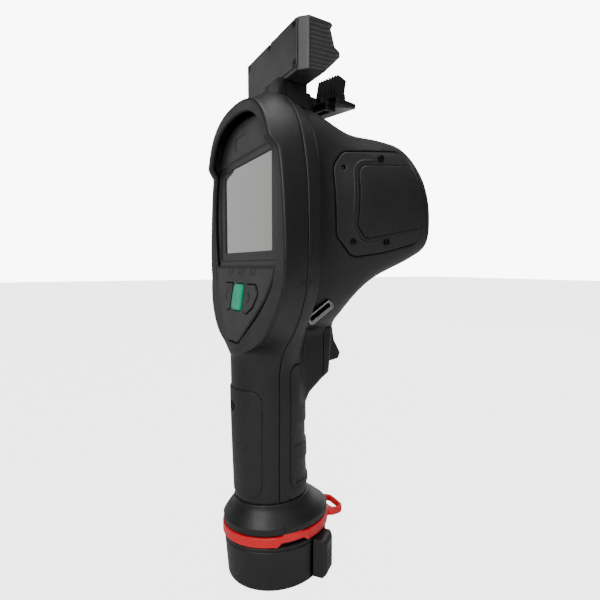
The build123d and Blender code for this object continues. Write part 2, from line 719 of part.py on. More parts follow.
def latch_part(sign):
    """Release latch: a bevelled block that is pressed in towards the foot's axis."""
    with BuildPart() as latch:
        with BuildSketch(latch_plane(sign, LATCH_LOW_Z)):
            with Locations(((LATCH_IN_R + LATCH_OUT_R) / 2, 0)):
                Rectangle(LATCH_OUT_R - LATCH_IN_R, LATCH_W)
        extrude(amount=LATCH_TOP_Z - LATCH_LOW_Z)
        outward = latch_plane(sign, 0).x_dir
        out_face = latch.faces().sort_by(Axis((0, 0, 0), tuple(outward)))[-1]
        chamfer(out_face.edges(), 2.2)
    return latch.part


# ---------------------------------------------------------------- accessory bar
with BuildPart() as bar_outer:
    add(prism(BAR_OUTLINE, side(0), BAR_HALF_X, both=True))
    with BuildSketch(Plane.XY.offset(280)):
        with BuildLine():
            Polyline(
                (-BAR_COVER_HALF_X, BAR_REAR_Y),
                (BAR_COVER_HALF_X, BAR_REAR_Y),
                (BAR_HALF_X, BAR_REAR_Y + 4.8),
                (BAR_HALF_X, 30),
                (-BAR_HALF_X, 30),
                (-BAR_HALF_X, BAR_REAR_Y + 4.8),
                close=True,
            )
        make_face()
    extrude(amount=60, mode=Mode.INTERSECT)
with BuildPart() as bar_housing:
    add(bar_outer.part)
    add(slab((-35.5, 35.5), (BAR_REAR_Y + BAR_COVER_T, 11.5), (295.0, 316.8)), mode=Mode.SUBTRACT)
    cover_room = slab((-40, 40), (-10, BAR_REAR_Y + BAR_COVER_T), (BAR_COVER_LOW_Z - 0.1, 330))
    add(cover_room, mode=Mode.SUBTRACT)
    window_room = slab((-31, 31), (10, 30), (306.8, 314.4))
    add(window_room, mode=Mode.SUBTRACT)
    for rib in range(RIB_COUNT):
        groove_z = 294.6 + rib * RIB_PITCH
        for sign in (-1, 1):
            limits = sorted((sign * (BAR_HALF_X - 1.0), sign * 50.0))
            add(slab(limits, (3.5, 13.5), (groove_z, groove_z + 1.1)), mode=Mode.SUBTRACT)

BAR_SCREWS = [(-31, 316.5), (0, 317.2), (31, 316.5), (-31, 296.8), (31, 296.8)]
with BuildPart() as bar_screws:
    for x, z in BAR_SCREWS:
        head_top = Plane(origin=(x, BAR_REAR_Y - 0.1, z), x_dir=(1, 0, 0), z_dir=(0, -1, 0))
        add(screw(head_top, 1.5, 1.0, 0.9, 2.0))
with BuildPart() as bar_cover:
    add(bar_outer.part)
    add(slab((-35, 35), (-10, BAR_REAR_Y + BAR_COVER_T), (BAR_COVER_LOW_Z, 330)), mode=Mode.INTERSECT)
    for x, z in BAR_SCREWS:
        hole = rod(Plane(origin=(x, -10, z), x_dir=(1, 0, 0), z_dir=(0, 1, 0)), 1.5, 20)
        add(hole, mode=Mode.SUBTRACT)
bar_window = slab((-30.9, 30.9), (11.6, 13.0), (306.9, 314.3))
bar_board = slab((-33.0, 33.0), (2.0, 3.6), (297.0, 315.0))
with BuildPart() as bar_sensors:
    with BuildSketch(across(3.6)):
        with Locations((-22, 310.6), (0, 310.6), (22, 310.6)):
            RectangleRounded(8.0, 7.0, 1.0)
    extrude(amount=-7.0)

with BuildPart() as bar_bracket:
    add(slab((-21, 21), (-2.0, 10.4), (278, 291.6)))
    add(outer_body.part, mode=Mode.SUBTRACT)
    add(bar_outer.part, mode=Mode.SUBTRACT)
with BuildPart() as clamp_block:
    add(slab((2, 20), (-7.0, -2.1), (280, 293.0)))
    add(outer_body.part, mode=Mode.SUBTRACT)
    add(bar_outer.part, mode=Mode.SUBTRACT)

# ---------------------------------------------------------------- shelf and lamp
SHELF_LOW_Z = SHELF_TOP_Z - SHELF_T
POST_R = 5.0
with BuildPart() as shelf_post:
    add(rod(shelf_plane(270), POST_R, SHELF_LOW_Z - GAP - 270))
    add(outer_body.part, mode=Mode.SUBTRACT)
    add(bar_bracket.part, mode=Mode.SUBTRACT)
    add(rod(shelf_plane(270), 2.0, 40), mode=Mode.SUBTRACT)
with BuildPart() as shelf_bolt:
    add(rod(shelf_plane(281.0), 2.0, SHELF_TOP_Z + GAP - 281.0))
    add(rod(shelf_plane(SHELF_TOP_Z + GAP), 3.6, 1.8))
with BuildPart() as shelf_plate:
    with BuildSketch(shelf_plane(SHELF_LOW_Z)) as plate:
        with Locations((0, 21.5)):
            Rectangle(30.0, 18.0)
        with Locations((0, 9.5)):
            Rectangle(15.0, 7.0)
        fillet(plate.vertices(), 2.0)
        Circle(5.0)
        with Locations((0, 3.0)):
            Rectangle(10.0, 6.1)
        Circle(2.0 + FIT, mode=Mode.SUBTRACT)
        with Locations((0, 15.5)):
            SlotOverall(17.0, 4.4, mode=Mode.SUBTRACT)
    extrude(amount=SHELF_T)
    with BuildSketch(shelf_plane(SHELF_LOW_Z - 2.6, forward=15.5)):
        RectangleRounded(15.0, 9.0, 1.5)
        SlotOverall(10.0, 4.4, mode=Mode.SUBTRACT)
    extrude(amount=2.6)

LAMP_FORWARD = 25.5
LAMP_RIGHT = -4.0
lamp_base = shelf_plane(SHELF_TOP_Z, forward=LAMP_FORWARD, right=LAMP_RIGHT)
lamp_pivot = Plane(origin=lamp_base.from_local_coords((0, 0, LAMP_PIVOT_Z - SHELF_TOP_Z)),
                   x_dir=lamp_base.x_dir, z_dir=(0, 0, 1))
with BuildPart() as lamp_bracket:
    with BuildSketch(lamp_base):
        Rectangle(21.0, 8.0)
    extrude(amount=1.4)
    with BuildSketch(lamp_base):
        with Locations((-9.6, 0), (9.6, 0)):
            Rectangle(1.8, 8.0)
    extrude(amount=8.0)
with BuildPart() as lamp_body:
    with BuildSketch(Plane.XY):
        Rectangle(16.8, 8.4)
    extrude(amount=14.6)
    with BuildSketch(Plane.XY.offset(-2.0)):
        Rectangle(16.8, 5.0)
    extrude(amount=2.0)
    for fin in range(7):
        fin_x = -7.2 + fin * 2.4
        with BuildSketch(Plane.XY.offset(1.5)):
            with Locations((fin_x, -4.2)):
                Rectangle(1.2, 4.0)
        extrude(amount=20, mode=Mode.SUBTRACT)
lamp_place = Location(lamp_pivot) * Location((0, 0, 0), (-LAMP_TILT, 0, 0))
lamp_module = lamp_body.part.moved(lamp_place)
lamp_axle = rod(side(-10.5), 1.2, 21.0).moved(Location(lamp_pivot))
with BuildPart() as bracket_cut:
    add(lamp_bracket.part)
    add(lamp_axle, mode=Mode.SUBTRACT)
with BuildPart() as module_cut:
    add(lamp_module)
    add(rod(side(-10.5), 1.2 + FIT, 21.0).moved(Location(lamp_pivot)), mode=Mode.SUBTRACT)

# ---------------------------------------------------------------- export
keep_node("rear_shell", rear_shell.part)
keep_node("front_shell", front_shell.part)
keep_node("shell_screws", shell_screws.part)
keep_node("grip_screw", grip_screw.part)
keep_node("bezel_panel", bezel_cut.part)
keep_node("display_window", display_window.part)
keep_node("lcd_module", lcd_module)
keep_node("main_board", main_board)
keep_node("power_button", power_button)
keep_node("left_key", left_key)
keep_node("right_key", right_key)
keep_node("key_domes", key_domes.part)
keep_node("keypad_board", keypad_board.part)
keep_node("front_bumper", front_bumper.part)
keep_node("lens_barrel", lens_barrel.part)
keep_node("lens_ring", lens_ring.part)
keep_node("front_lens", front_lens.part)
keep_node("rear_lens", rear_lens.part)
keep_node("sensor_core", sensor_core)
keep_node("sensor_mount", sensor_mount)
keep_node("right_side_cover", side_cover.part)
keep_node("left_side_cover", mirror(side_cover.part, about=Plane.YZ))
keep_node("right_side_pad", side_pad.part)
keep_node("left_side_pad", mirror(side_pad.part, about=Plane.YZ))
keep_node("side_cover_screws", side_screws.part)
keep_node("right_strap_anchor", strap_anchor.part)
keep_node("left_strap_anchor", mirror(strap_anchor.part, about=Plane.YZ))
keep_node("trigger", trigger.part)
keep_node("trigger_pin", trigger_pin)
keep_node("trigger_frame", trigger_frame.part)
keep_node("trigger_switch", trigger_switch)
keep_node("switch_plunger", switch_plunger.part)
keep_node("rear_grip_pad", rear_grip_pad.part)
keep_node("front_grip_pad", front_grip_pad.part)
keep_node("base_collar", base_collar.part)
keep_node("contact_block", contact_block.part)
keep_node("body_contacts", body_contacts.part)
keep_node("lanyard_ring", lanyard_ring.part)
keep_node("battery_case", battery_case.part)
keep_node("battery_lid", battery_lid.part)
keep_node("battery_cells", battery_cells.part)
keep_node("battery_board", battery_board)
keep_node("battery_contacts", battery_contacts.part)
keep_node("right_latch", latch_part(1))
keep_node("left_latch", latch_part(-1))
keep_node("bar_housing", bar_housing.part)
keep_node("bar_cover", bar_cover.part)
keep_node("bar_screws", bar_screws.part)
keep_node("bar_window", bar_window)
keep_node("bar_board", bar_board)
keep_node("bar_sensors", bar_sensors.part)
keep_node("bar_bracket", bar_bracket.part)
keep_node("clamp_block", clamp_block.part)
keep_node("shelf_post", shelf_post.part)
keep_node("shelf_bolt", shelf_bolt.part)
keep_node("shelf_plate", shelf_plate.part)
keep_node("lamp_bracket", bracket_cut.part)
keep_node("lamp_module", module_cut.part)
keep_node("lamp_axle", lamp_axle)

os.makedirs("parts", exist_ok=True)
for name, part in nodes.items():
    export_step(part, f"parts/{name}.step")
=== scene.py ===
"""Handheld thermal imaging camera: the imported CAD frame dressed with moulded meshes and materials.

Shapes are signed distance fields in millimetres, in the frame's own axes (+X right, +Y out through
the lens, +Z up), turned into meshes by a surface net and scaled to metres at the end.
"""
import json
import math

import bmesh
import bpy
import numpy as np
from mathutils import Matrix, Vector


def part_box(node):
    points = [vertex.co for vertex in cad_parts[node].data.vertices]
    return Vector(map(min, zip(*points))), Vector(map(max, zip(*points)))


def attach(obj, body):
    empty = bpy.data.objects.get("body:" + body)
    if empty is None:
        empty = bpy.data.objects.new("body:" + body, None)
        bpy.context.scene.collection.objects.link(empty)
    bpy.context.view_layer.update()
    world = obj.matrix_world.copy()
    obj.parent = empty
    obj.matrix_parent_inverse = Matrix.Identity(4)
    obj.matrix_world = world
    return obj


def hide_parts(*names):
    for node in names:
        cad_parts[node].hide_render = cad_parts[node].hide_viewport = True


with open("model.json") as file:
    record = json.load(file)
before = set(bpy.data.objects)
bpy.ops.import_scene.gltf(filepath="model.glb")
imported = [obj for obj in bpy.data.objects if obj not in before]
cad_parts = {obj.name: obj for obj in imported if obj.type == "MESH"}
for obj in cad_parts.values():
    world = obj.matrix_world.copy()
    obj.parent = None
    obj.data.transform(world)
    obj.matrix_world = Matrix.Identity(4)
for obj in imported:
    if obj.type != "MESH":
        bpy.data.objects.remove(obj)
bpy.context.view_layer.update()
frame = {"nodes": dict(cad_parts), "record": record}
nodes = frame["nodes"]
MM = 0.001
TAU = 2 * math.pi

# ---------------------------------------------------------------- places taken from the frame
PARTING_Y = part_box("front_shell")[0].y / MM
PANEL_Y = -20.0
RIM_Y = -22.3
BAND_Y = 2.5
HOOD_Y = -26.5
LENS_Z = sum(c.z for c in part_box("front_lens")) / 2 / MM
LEAN_TOP_Z = 186.0
LEAN_SLOPE = 0.155
WALL = 2.8
HEAD_MID = (0.0, 212.0)


# ---------------------------------------------------------------- field tools
def soft_min(a, b, k):
    """Union of two fields with a fillet of about k millimetres."""
    h = np.clip(0.5 + 0.5 * (b - a) / k, 0.0, 1.0)
    return b + (a - b) * h - k * h * (1.0 - h)


def soft_max(a, b, k):
    """Intersection of two fields with an edge rounded by about k millimetres."""
    return -soft_min(-a, -b, k)


def smooth_step(low, high, value):
    t = np.clip((value - low) / (high - low), 0.0, 1.0)
    return t * t * (3.0 - 2.0 * t)


def spline(knots, values, at, closed=False):
    """Cubic spline through values at knots, read at other places; values may have columns."""
    knots, values = np.asarray(knots, float), np.asarray(values, float)
    n = len(knots)
    gaps = np.diff(knots)
    a, rhs = np.zeros((n, n)), np.zeros((n,) + values.shape[1:])
    for i in range(1, n - 1):
        a[i, i - 1 : i + 2] = gaps[i - 1], 2 * (gaps[i - 1] + gaps[i]), gaps[i]
        rhs[i] = 6 * ((values[i + 1] - values[i]) / gaps[i] - (values[i] - values[i - 1]) / gaps[i - 1])
    if closed:
        a[0, 0], a[0, -1] = 1, -1
        a[-1, 0], a[-1, 1], a[-1, -2], a[-1, -1] = 2 * gaps[0], gaps[0], gaps[-1], 2 * gaps[-1]
        rhs[-1] = 6 * ((values[1] - values[0]) / gaps[0] - (values[-1] - values[-2]) / gaps[-1])
    else:
        a[0, 0] = a[-1, -1] = 1
    bend = np.linalg.solve(a, rhs.reshape(n, -1)).reshape(rhs.shape)
    i = np.clip(np.searchsorted(knots, at) - 1, 0, n - 2)
    shape = (-1,) + (1,) * (values.ndim - 1)
    g, t = gaps[i].reshape(shape), (at - knots[i]).reshape(shape)
    u = g - t
    return (
        (bend[i] * u**3 + bend[i + 1] * t**3) / (6 * g)
        + (values[i] / g - bend[i] * g / 6) * u
        + (values[i + 1] / g - bend[i + 1] * g / 6) * t
    )


def closed_curve(points, count=720):
    """Smooth closed curve through points, as count places on it."""
    loop = np.array(list(points) + [points[0]], float)
    knots = np.concatenate([[0], np.cumsum(np.hypot(*np.diff(loop, axis=0).T))])
    return spline(knots, loop, np.linspace(0, knots[-1], count, endpoint=False), closed=True)


def both_sides(half):
    """Right-hand half outline, bottom to top, closed by its mirror image."""
    return list(half) + [(-x, z) for x, z in reversed(half[1:-1])]


def polar_radius(curve, centre, count=720):
    """Distance from the centre to a closed curve for evenly spaced directions."""
    offset = np.asarray(curve) - centre
    angle = np.mod(np.arctan2(offset[:, 1], offset[:, 0]), TAU)
    order = np.argsort(angle)
    turns = np.arange(count) * TAU / count
    return np.interp(turns, angle[order], np.hypot(*offset[order].T), period=TAU)


class Outline:
    """Signed distance to a closed curve that is seen whole from its centre."""

    ROUND = 1440

    def __init__(self, curve, centre):
        self.centre = centre
        self.radius = polar_radius(curve, centre, self.ROUND)
        slope = np.gradient(np.concatenate([self.radius[-1:], self.radius, self.radius[:1]]))[1:-1]
        self.steep = np.sqrt(1 + (slope / (TAU / self.ROUND) / self.radius) ** 2)

    def __call__(self, u, v):
        u, v = u - self.centre[0], v - self.centre[1]
        place = np.mod(np.arctan2(v, u), TAU) * (self.ROUND / TAU)
        i = place.astype(np.int32) % self.ROUND
        j, t = (i + 1) % self.ROUND, place - np.floor(place)
        radius = self.radius[i] * (1 - t) + self.radius[j] * t
        steep = self.steep[i] * (1 - t) + self.steep[j] * t
        return (np.hypot(u, v) - radius) / steep


class Loft:
    """Signed distance to a smooth tube through closed curves at places along one axis."""

    ROUND, ALONG = 720, 160

    def __init__(self, stations):
        at = np.array([s[0] for s in stations], float)
        centres = np.array([s[1] for s in stations], float)
        radii = np.array([polar_radius(closed_curve(s[2]), s[1], self.ROUND) for s in stations])
        self.low, self.high = at[0], at[-1]
        fine = np.linspace(self.low, self.high, self.ALONG)
        self.centre = spline(at, centres, fine)
        self.radius = spline(at, radii, fine)
        along, turn = np.gradient(self.radius, fine, TAU / self.ROUND)
        self.steep = np.sqrt(1 + along**2 + (turn / self.radius) ** 2)

    def __call__(self, w, u, v):
        step = np.clip((w - self.low) / (self.high - self.low), 0, 1) * (self.ALONG - 1)
        a = np.minimum(step.astype(np.int32), self.ALONG - 2)
        s = step - a
        cu = self.centre[a, 0] * (1 - s) + self.centre[a + 1, 0] * s
        cv = self.centre[a, 1] * (1 - s) + self.centre[a + 1, 1] * s
        u, v = u - cu, v - cv
        place = np.mod(np.arctan2(v, u), TAU) * (self.ROUND / TAU)
        i = place.astype(np.int32) % self.ROUND
        j, t = (i + 1) % self.ROUND, place - np.floor(place)
        mixed = []
        for table in (self.radius, self.steep):
            low = table[a, i] * (1 - t) + table[a, j] * t
            high = table[a + 1, i] * (1 - t) + table[a + 1, j] * t
            mixed.append(low * (1 - s) + high * s)
        return (np.hypot(u, v) - mixed[0]) / mixed[1]


def polygon(points, round_r=0.0):
    """Field of a polygon with rounded corners, in the plane of its points."""
    ring = np.array(points, float)
    along = np.roll(ring, -1, axis=0) - ring
    along /= np.hypot(*along.T)[:, None]
    before = np.roll(along, 1, axis=0)
    turn = before[:, 0] * along[:, 1] - before[:, 1] * along[:, 0]
    side = round_r * np.sign(turn.sum())
    corners = ring + side * (along - before) / np.where(np.abs(turn) < 1e-9, 1e9, turn)[:, None]

    def field(u, v):
        best = np.full(np.shape(u), 1e9)
        inside = np.ones(np.shape(u))
        for (ax, ay), (bx, by) in zip(corners, np.roll(corners, 1, axis=0)):
            ex, ey, wx, wy = bx - ax, by - ay, u - ax, v - ay
            t = np.clip((wx * ex + wy * ey) / (ex * ex + ey * ey), 0, 1)
            best = np.minimum(best, (wx - ex * t) ** 2 + (wy - ey * t) ** 2)
            up, down = v >= ay, v < by
            left = ex * wy > ey * wx
            inside = np.where((up & down & left) | (~up & ~down & ~left), -inside, inside)
        return inside * np.sqrt(best) - round_r

    return field


def plate(flat, height, round_r):
    """A flat field given thickness: height is the distance outside the slab."""
    a, b = flat + round_r, height + round_r
    return np.hypot(np.maximum(a, 0), np.maximum(b, 0)) + np.minimum(np.maximum(a, b), 0) - round_r


def block(p, low, high, round_r=0.0):
    """Box between two corners with rounded edges."""
    gaps = []
    for axis in range(3):
        middle, half = (low[axis] + high[axis]) / 2, (high[axis] - low[axis]) / 2
        gaps.append(np.abs(p[axis] - middle) - half + round_r)
    outside = np.sqrt(sum(np.maximum(g, 0) ** 2 for g in gaps))
    return outside + np.minimum(np.maximum(np.maximum(gaps[0], gaps[1]), gaps[2]), 0) - round_r


# ---------------------------------------------------------------- surface net
CUBE = np.array([(i, j, k) for i in (0, 1) for j in (0, 1) for k in (0, 1)])
CUBE_EDGES = [(a, b) for a in range(8) for b in range(a + 1, 8) if np.abs(CUBE[a] - CUBE[b]).sum() == 1]


def sample(field, low, step, shape):
    """The field on a grid, worked out closely only near the surface."""
    coarse = 6
    blocks = [n // coarse + 1 for n in shape]
    ticks = [low[a] + step * coarse * (np.arange(blocks[a]) + 0.5) for a in range(3)]
    rough = field(*np.meshgrid(*ticks, indexing="ij"))
    near = np.abs(rough) < step * coarse * 1.9
    grid = np.repeat(np.repeat(np.repeat(np.sign(rough) * 9.0, coarse, 0), coarse, 1), coarse, 2)
    found = np.argwhere(near)
    inner = np.stack(np.meshgrid(*[np.arange(coarse)] * 3, indexing="ij"), -1).reshape(-1, 3)
    for part in np.array_split(found, max(1, len(found) // 4000)):
        cells = (part[:, None, :] * coarse + inner[None]).reshape(-1, 3)
        spots = cells * step + low
        grid[tuple(cells.T)] = field(*spots.T)
    return grid


def net(field, low, high, step):
    """Vertices and quads of the field's surface; vertices are pulled onto it at the end."""
    low = np.array(low, float) - 2.2 * step
    shape = [int(math.ceil((high[a] - low[a]) / step)) + 5 for a in range(3)]
    grid = sample(field, low, step, shape).astype(np.float32)
    solid = grid < 0
    count = np.zeros([n - 1 for n in grid.shape], np.int8)
    for corner in CUBE:
        count += solid[tuple(slice(c, n - 1 + c) for c, n in zip(corner, grid.shape))]
    cells = np.argwhere((count > 0) & (count < 8))
    values = np.stack([grid[tuple((cells + corner).T)] for corner in CUBE], 1).astype(float)
    total, crossings = np.zeros((len(cells), 3)), np.zeros(len(cells))
    for a, b in CUBE_EDGES:
        cut = (values[:, a] < 0) != (values[:, b] < 0)
        t = values[cut, a] / (values[cut, a] - values[cut, b])
        total[cut] += CUBE[a] + t[:, None] * (CUBE[b] - CUBE[a])
        crossings[cut] += 1
    verts = (cells + total / crossings[:, None]) * step + low
    number = np.full(count.shape, -1, np.int32)
    number[tuple(cells.T)] = np.arange(len(cells))
    quads = []
    for axis in range(3):
        u, v = (axis + 1) % 3, (axis + 2) % 3
        ahead = np.eye(3, dtype=int)[axis]
        lead = tuple(slice(1, n - 1) for n in grid.shape)
        next_lead = tuple(slice(1 + ahead[a], n - 1 + ahead[a]) for a, n in enumerate(grid.shape))
        here, there = solid[lead], solid[next_lead]
        for rising in (True, False):
            at = np.argwhere((here & ~there) if rising else (~here & there)) + 1
            du, dv = np.eye(3, dtype=int)[u], np.eye(3, dtype=int)[v]
            ring = [at - du - dv, at - dv, at, at - du]
            ring = ring if rising else ring[::-1]
            quads.append(np.stack([number[tuple(r.T)] for r in ring], 1))
    quads = np.concatenate(quads)
    quads = quads[(quads >= 0).all(1)]
    for _ in range(3):
        verts = settle(field, verts, step)
    return verts, quads


def settle(field, verts, step):
    """Moves vertices along the field's slope onto the surface."""
    eps = 0.12 * step
    value = field(*verts.T)
    slope = np.zeros_like(verts)
    for axis in range(3):
        shifted = verts.copy()
        shifted[:, axis] += eps
        slope[:, axis] = (field(*shifted.T) - value) / eps
    length = np.maximum((slope**2).sum(1), 0.25)
    move = -value[:, None] * slope / length[:, None]
    size = np.linalg.norm(move, axis=1, keepdims=True)
    return verts + move * np.minimum(1.0, 0.45 * step / np.maximum(size, 1e-9))


# ---------------------------------------------------------------- outlines, in millimetres
RIM = [(0, 140), (34, 149), (54.5, 173), (56.8, 212), (52.3, 242), (38, 269.5), (0, 280.5)]
PARTING = [(0, 138.7), (33, 150), (51, 177.4), (54, 212), (50.9, 242), (36, 273.5), (0, 288)]
BAND = [(0, 142), (31, 152.5), (47.5, 177), (50.6, 212), (49, 243), (35, 270.5), (0, 284)]
PANEL = [(29, 164), (41, 178), (46.5, 196), (48.3, 215), (45.5, 240), (34, 263.5), (0, 273.5)]
SHIELD_TIP = (7.6, 145.5)
LENS_STATIONS = [
    (0, [(0, 150), (24, 156), (38, 185), (42, 215), (40, 250), (26, 276), (0, 281)]),
    (15, [(0, 148.5), (22, 156), (34, 182), (37.5, 212), (37, 250), (25, 274.7), (0, 276.5)]),
    (32, [(0, 149.8), (12, 153.5), (30, 177), (39, 205), (39.5, 248), (26, 267.4), (0, 268.4)]),
    (52, [(0, 175.5), (16, 176.6), (32, 186), (41, 207), (41.5, 246), (26, 265.6), (0, 266.4)]),
    (72, [(0, 188), (20, 188.6), (35, 194), (42.6, 210), (43, 244), (26, 263.8), (0, 264.6)]),
    (94, [(0, 199.5), (22, 200), (36, 204.5), (43.4, 219), (43.8, 242), (26, 261.6), (0, 262.4)]),
]
HANDLE_LOW_Z = 50.0
GRIP_TOP_Z = 178.0
HOUSING_HALF_X = 11.5
GRIP_STATIONS = [
    (HANDLE_LOW_Z, 20.0, -26.2, 19.8),
    (92.0, 20.0, -27.6, 18.2),
    (115.0, 20.5, -28.0, 17.5),
    (134.0, 22.0, -28.0, 16.0),
    (152.0, 33.0, -27.2, 14.0),
    (GRIP_TOP_Z, 50.0, -23.2, 4.0),
]
SHOULDER_Z = 38.6
COLLAR_OVAL = (27.8, 33.4)
SEAT_OVAL = (26.3, 31.9)
RING_OVAL = (28.7, 34.3)
BATTERY_TOP_OVAL = (27.6, 32.8)
BATTERY_LOW_OVAL = (27.0, 30.6)
FLARE_STATIONS = [
    (SHOULDER_Z, *COLLAR_OVAL, 0.0),
    (43.0, 24.6, 29.6, -1.2),
    (47.0, 21.6, 25.4, -2.4),
    (HANDLE_LOW_Z, 20.6, 23.4, -3.2),
]
HOUSING = [
    (8, 106), (16, 106), (19.6, 111), (28, 118.2), (33.4, 122), (35, 140), (35.6, 155), (36, 172), (8, 172),
]
TRIGGER = [(28.5, 155.5), (38, 155), (40, 142), (45, 133), (43.5, 129), (35.4, 127.6), (33.6, 146)]
COVER = [
    (24, 252.5), (17.5, 244), (20.5, 206.6), (31.6, 194.8),
    (52, 197.6), (75, 203.4), (79, 209), (68, 257.5),
]
SIDE_PAD = [(32.2, 245.4), (32.4, 212.5), (38.4, 204.8), (76.5, 213.0), (79, 217), (70, 248.6)]


def ellipse(half_u, half_v, middle_v, count=24):
    """Points round an ellipse whose middle lies on the second axis."""
    turns = np.arange(count) * TAU / count
    return [(half_u * math.cos(t), middle_v + half_v * math.sin(t)) for t in turns]


def lens_station(depth, half):
    """One lens head outline with the centre it is measured from."""
    return depth, (0.0, (half[0][1] + half[-1][1]) / 2), both_sides(half)


def grip_station(z, half_x, rear_y, front_y):
    middle = (rear_y + front_y) / 2
    return z, (0.0, middle), ellipse(half_x, (front_y - rear_y) / 2, middle)


HEAD_STATIONS = ((RIM_Y, RIM), (-7.0, PARTING), (BAND_Y, BAND))
head_loft = Loft([(y, HEAD_MID, both_sides(half)) for y, half in HEAD_STATIONS])
lens_loft = Loft([lens_station(*s) for s in LENS_STATIONS])
grip_loft = Loft([grip_station(*s) for s in GRIP_STATIONS])
flare_loft = Loft([(z, (0.0, mid), ellipse(hx, hy, mid)) for z, hx, hy, mid in FLARE_STATIONS])
housing_flat = polygon(HOUSING, 3.0)
cover_flat = polygon(COVER, 8.0)
side_pad_flat = polygon(SIDE_PAD, 6.0)


def panel_curve():
    """The display panel's outline with its straight-sided shield."""
    half = np.array(PANEL, float)
    knots = np.concatenate([[0], np.cumsum(np.hypot(*np.diff(half, axis=0).T))])
    loop = np.concatenate([half, half[-2::-1] * (-1, 1)])
    knots = np.concatenate([knots, 2 * knots[-1] - knots[-2::-1]])
    arch = spline(knots, loop, np.linspace(0, knots[-1], 500))
    tip = np.array([(-SHIELD_TIP[0], SHIELD_TIP[1]), SHIELD_TIP])
    corners = [arch[-1], tip[0], tip[1], arch[0]]
    steps = np.linspace(0, 1, 60)[1:-1]
    straight = [a + (b - a) * t for a, b in zip(corners, corners[1:]) for t in steps]
    return np.concatenate([arch, straight, tip])


panel_outline = Outline(panel_curve(), (0.0, 205.0))
FRONT_TILT = math.radians(15.0)
FRONT_POINT = (79.5, 244.0)


def front_height(y, z):
    """Distance in front of the lens head's slanted face."""
    return (y - FRONT_POINT[0]) * math.cos(FRONT_TILT) + (z - FRONT_POINT[1]) * math.sin(FRONT_TILT)


def lean_y(z):
    """Depth of the leaning lower panel at height z."""
    return -22.0 - np.maximum(LEAN_TOP_Z - z, 0) * LEAN_SLOPE


def rear_limit(z):
    """Depth of the housing's rear edge: the hood above, the rim, and the lean below."""
    hood = (HOOD_Y - RIM_Y) * smooth_step(246.0, 254.0, z)
    return RIM_Y + hood - np.maximum(181.0 - z, 0) * 0.12


def lens_head(x, y, z):
    tube = lens_loft(y, x, z)
    return soft_max(tube, front_height(y, z), 7.0)


def body(x, y, z):
    """Outside of both shells, the lens head and the trigger housing in one."""
    ends = np.maximum(rear_limit(z) - y, y - BAND_Y)
    head = soft_max(head_loft(np.maximum(y, RIM_Y), x, z), ends, 1.6)
    grip = np.maximum(grip_loft(z, x, y), np.maximum(HANDLE_LOW_Z - z, z - GRIP_TOP_Z))
    lens = np.maximum(lens_head(x, y, z), -y)
    housing = plate(housing_flat(y, z), np.abs(x) - HOUSING_HALF_X, 4.0)
    whole = soft_min(head, grip, 5.0)
    whole = soft_min(whole, lens, 3.0)
    return soft_min(whole, housing, 4.0)


# ---------------------------------------------------------------- material tools
def shader(name, sockets, base, rough, speckle, rough_swing, grain, grain_scale=2600.0):
    """Principled material with mottled colour, uneven gloss and a fine moulded grain."""
    mat = bpy.data.materials.new(name)
    mat.use_nodes = True
    tree = mat.node_tree
    link = tree.links.new
    bsdf = tree.nodes["Principled BSDF"]
    for key, value in sockets.items():
        bsdf.inputs[key].default_value = value
    coords = tree.nodes.new("ShaderNodeTexCoord").outputs["Object"]

    def noise(scale, detail=4.0):
        node = tree.nodes.new("ShaderNodeTexNoise")
        node.inputs["Scale"].default_value = scale
        node.inputs["Detail"].default_value = detail
        link(coords, node.inputs["Vector"])
        return node.outputs["Fac"]

    def ramp(fac, low, high):
        node = tree.nodes.new("ShaderNodeMapRange")
        node.inputs["From Min"].default_value, node.inputs["From Max"].default_value = 0.3, 0.7
        node.inputs["To Min"].default_value, node.inputs["To Max"].default_value = low, high
        link(fac, node.inputs["Value"])
        return node.outputs["Result"]

    mix = tree.nodes.new("ShaderNodeMix")
    mix.data_type = "RGBA"
    colours = [s for s in mix.inputs if s.type == "RGBA"]
    colours[0].default_value = [max(c - speckle * (0.4 + c), 0.0) for c in base] + [1.0]
    colours[1].default_value = [min(c + speckle * (0.4 + c), 1.0) for c in base] + [1.0]
    link(noise(85.0, 6.0), mix.inputs["Factor"])
    link([s for s in mix.outputs if s.type == "RGBA"][0], bsdf.inputs["Base Color"])
    wide, fine = noise(38.0, 3.0), noise(grain_scale, 2.0)
    total = tree.nodes.new("ShaderNodeMath")
    total.operation = "ADD"
    link(ramp(wide, rough - rough_swing, rough + rough_swing), total.inputs[0])
    link(ramp(fine, -rough_swing * 0.5, rough_swing * 0.5), total.inputs[1])
    link(total.outputs[0], bsdf.inputs["Roughness"])
    if grain:
        bump = tree.nodes.new("ShaderNodeBump")
        bump.inputs["Strength"].default_value = grain
        bump.inputs["Distance"].default_value = 0.0004
        link(fine, bump.inputs["Height"])
        link(bump.outputs["Normal"], bsdf.inputs["Normal"])
    return mat


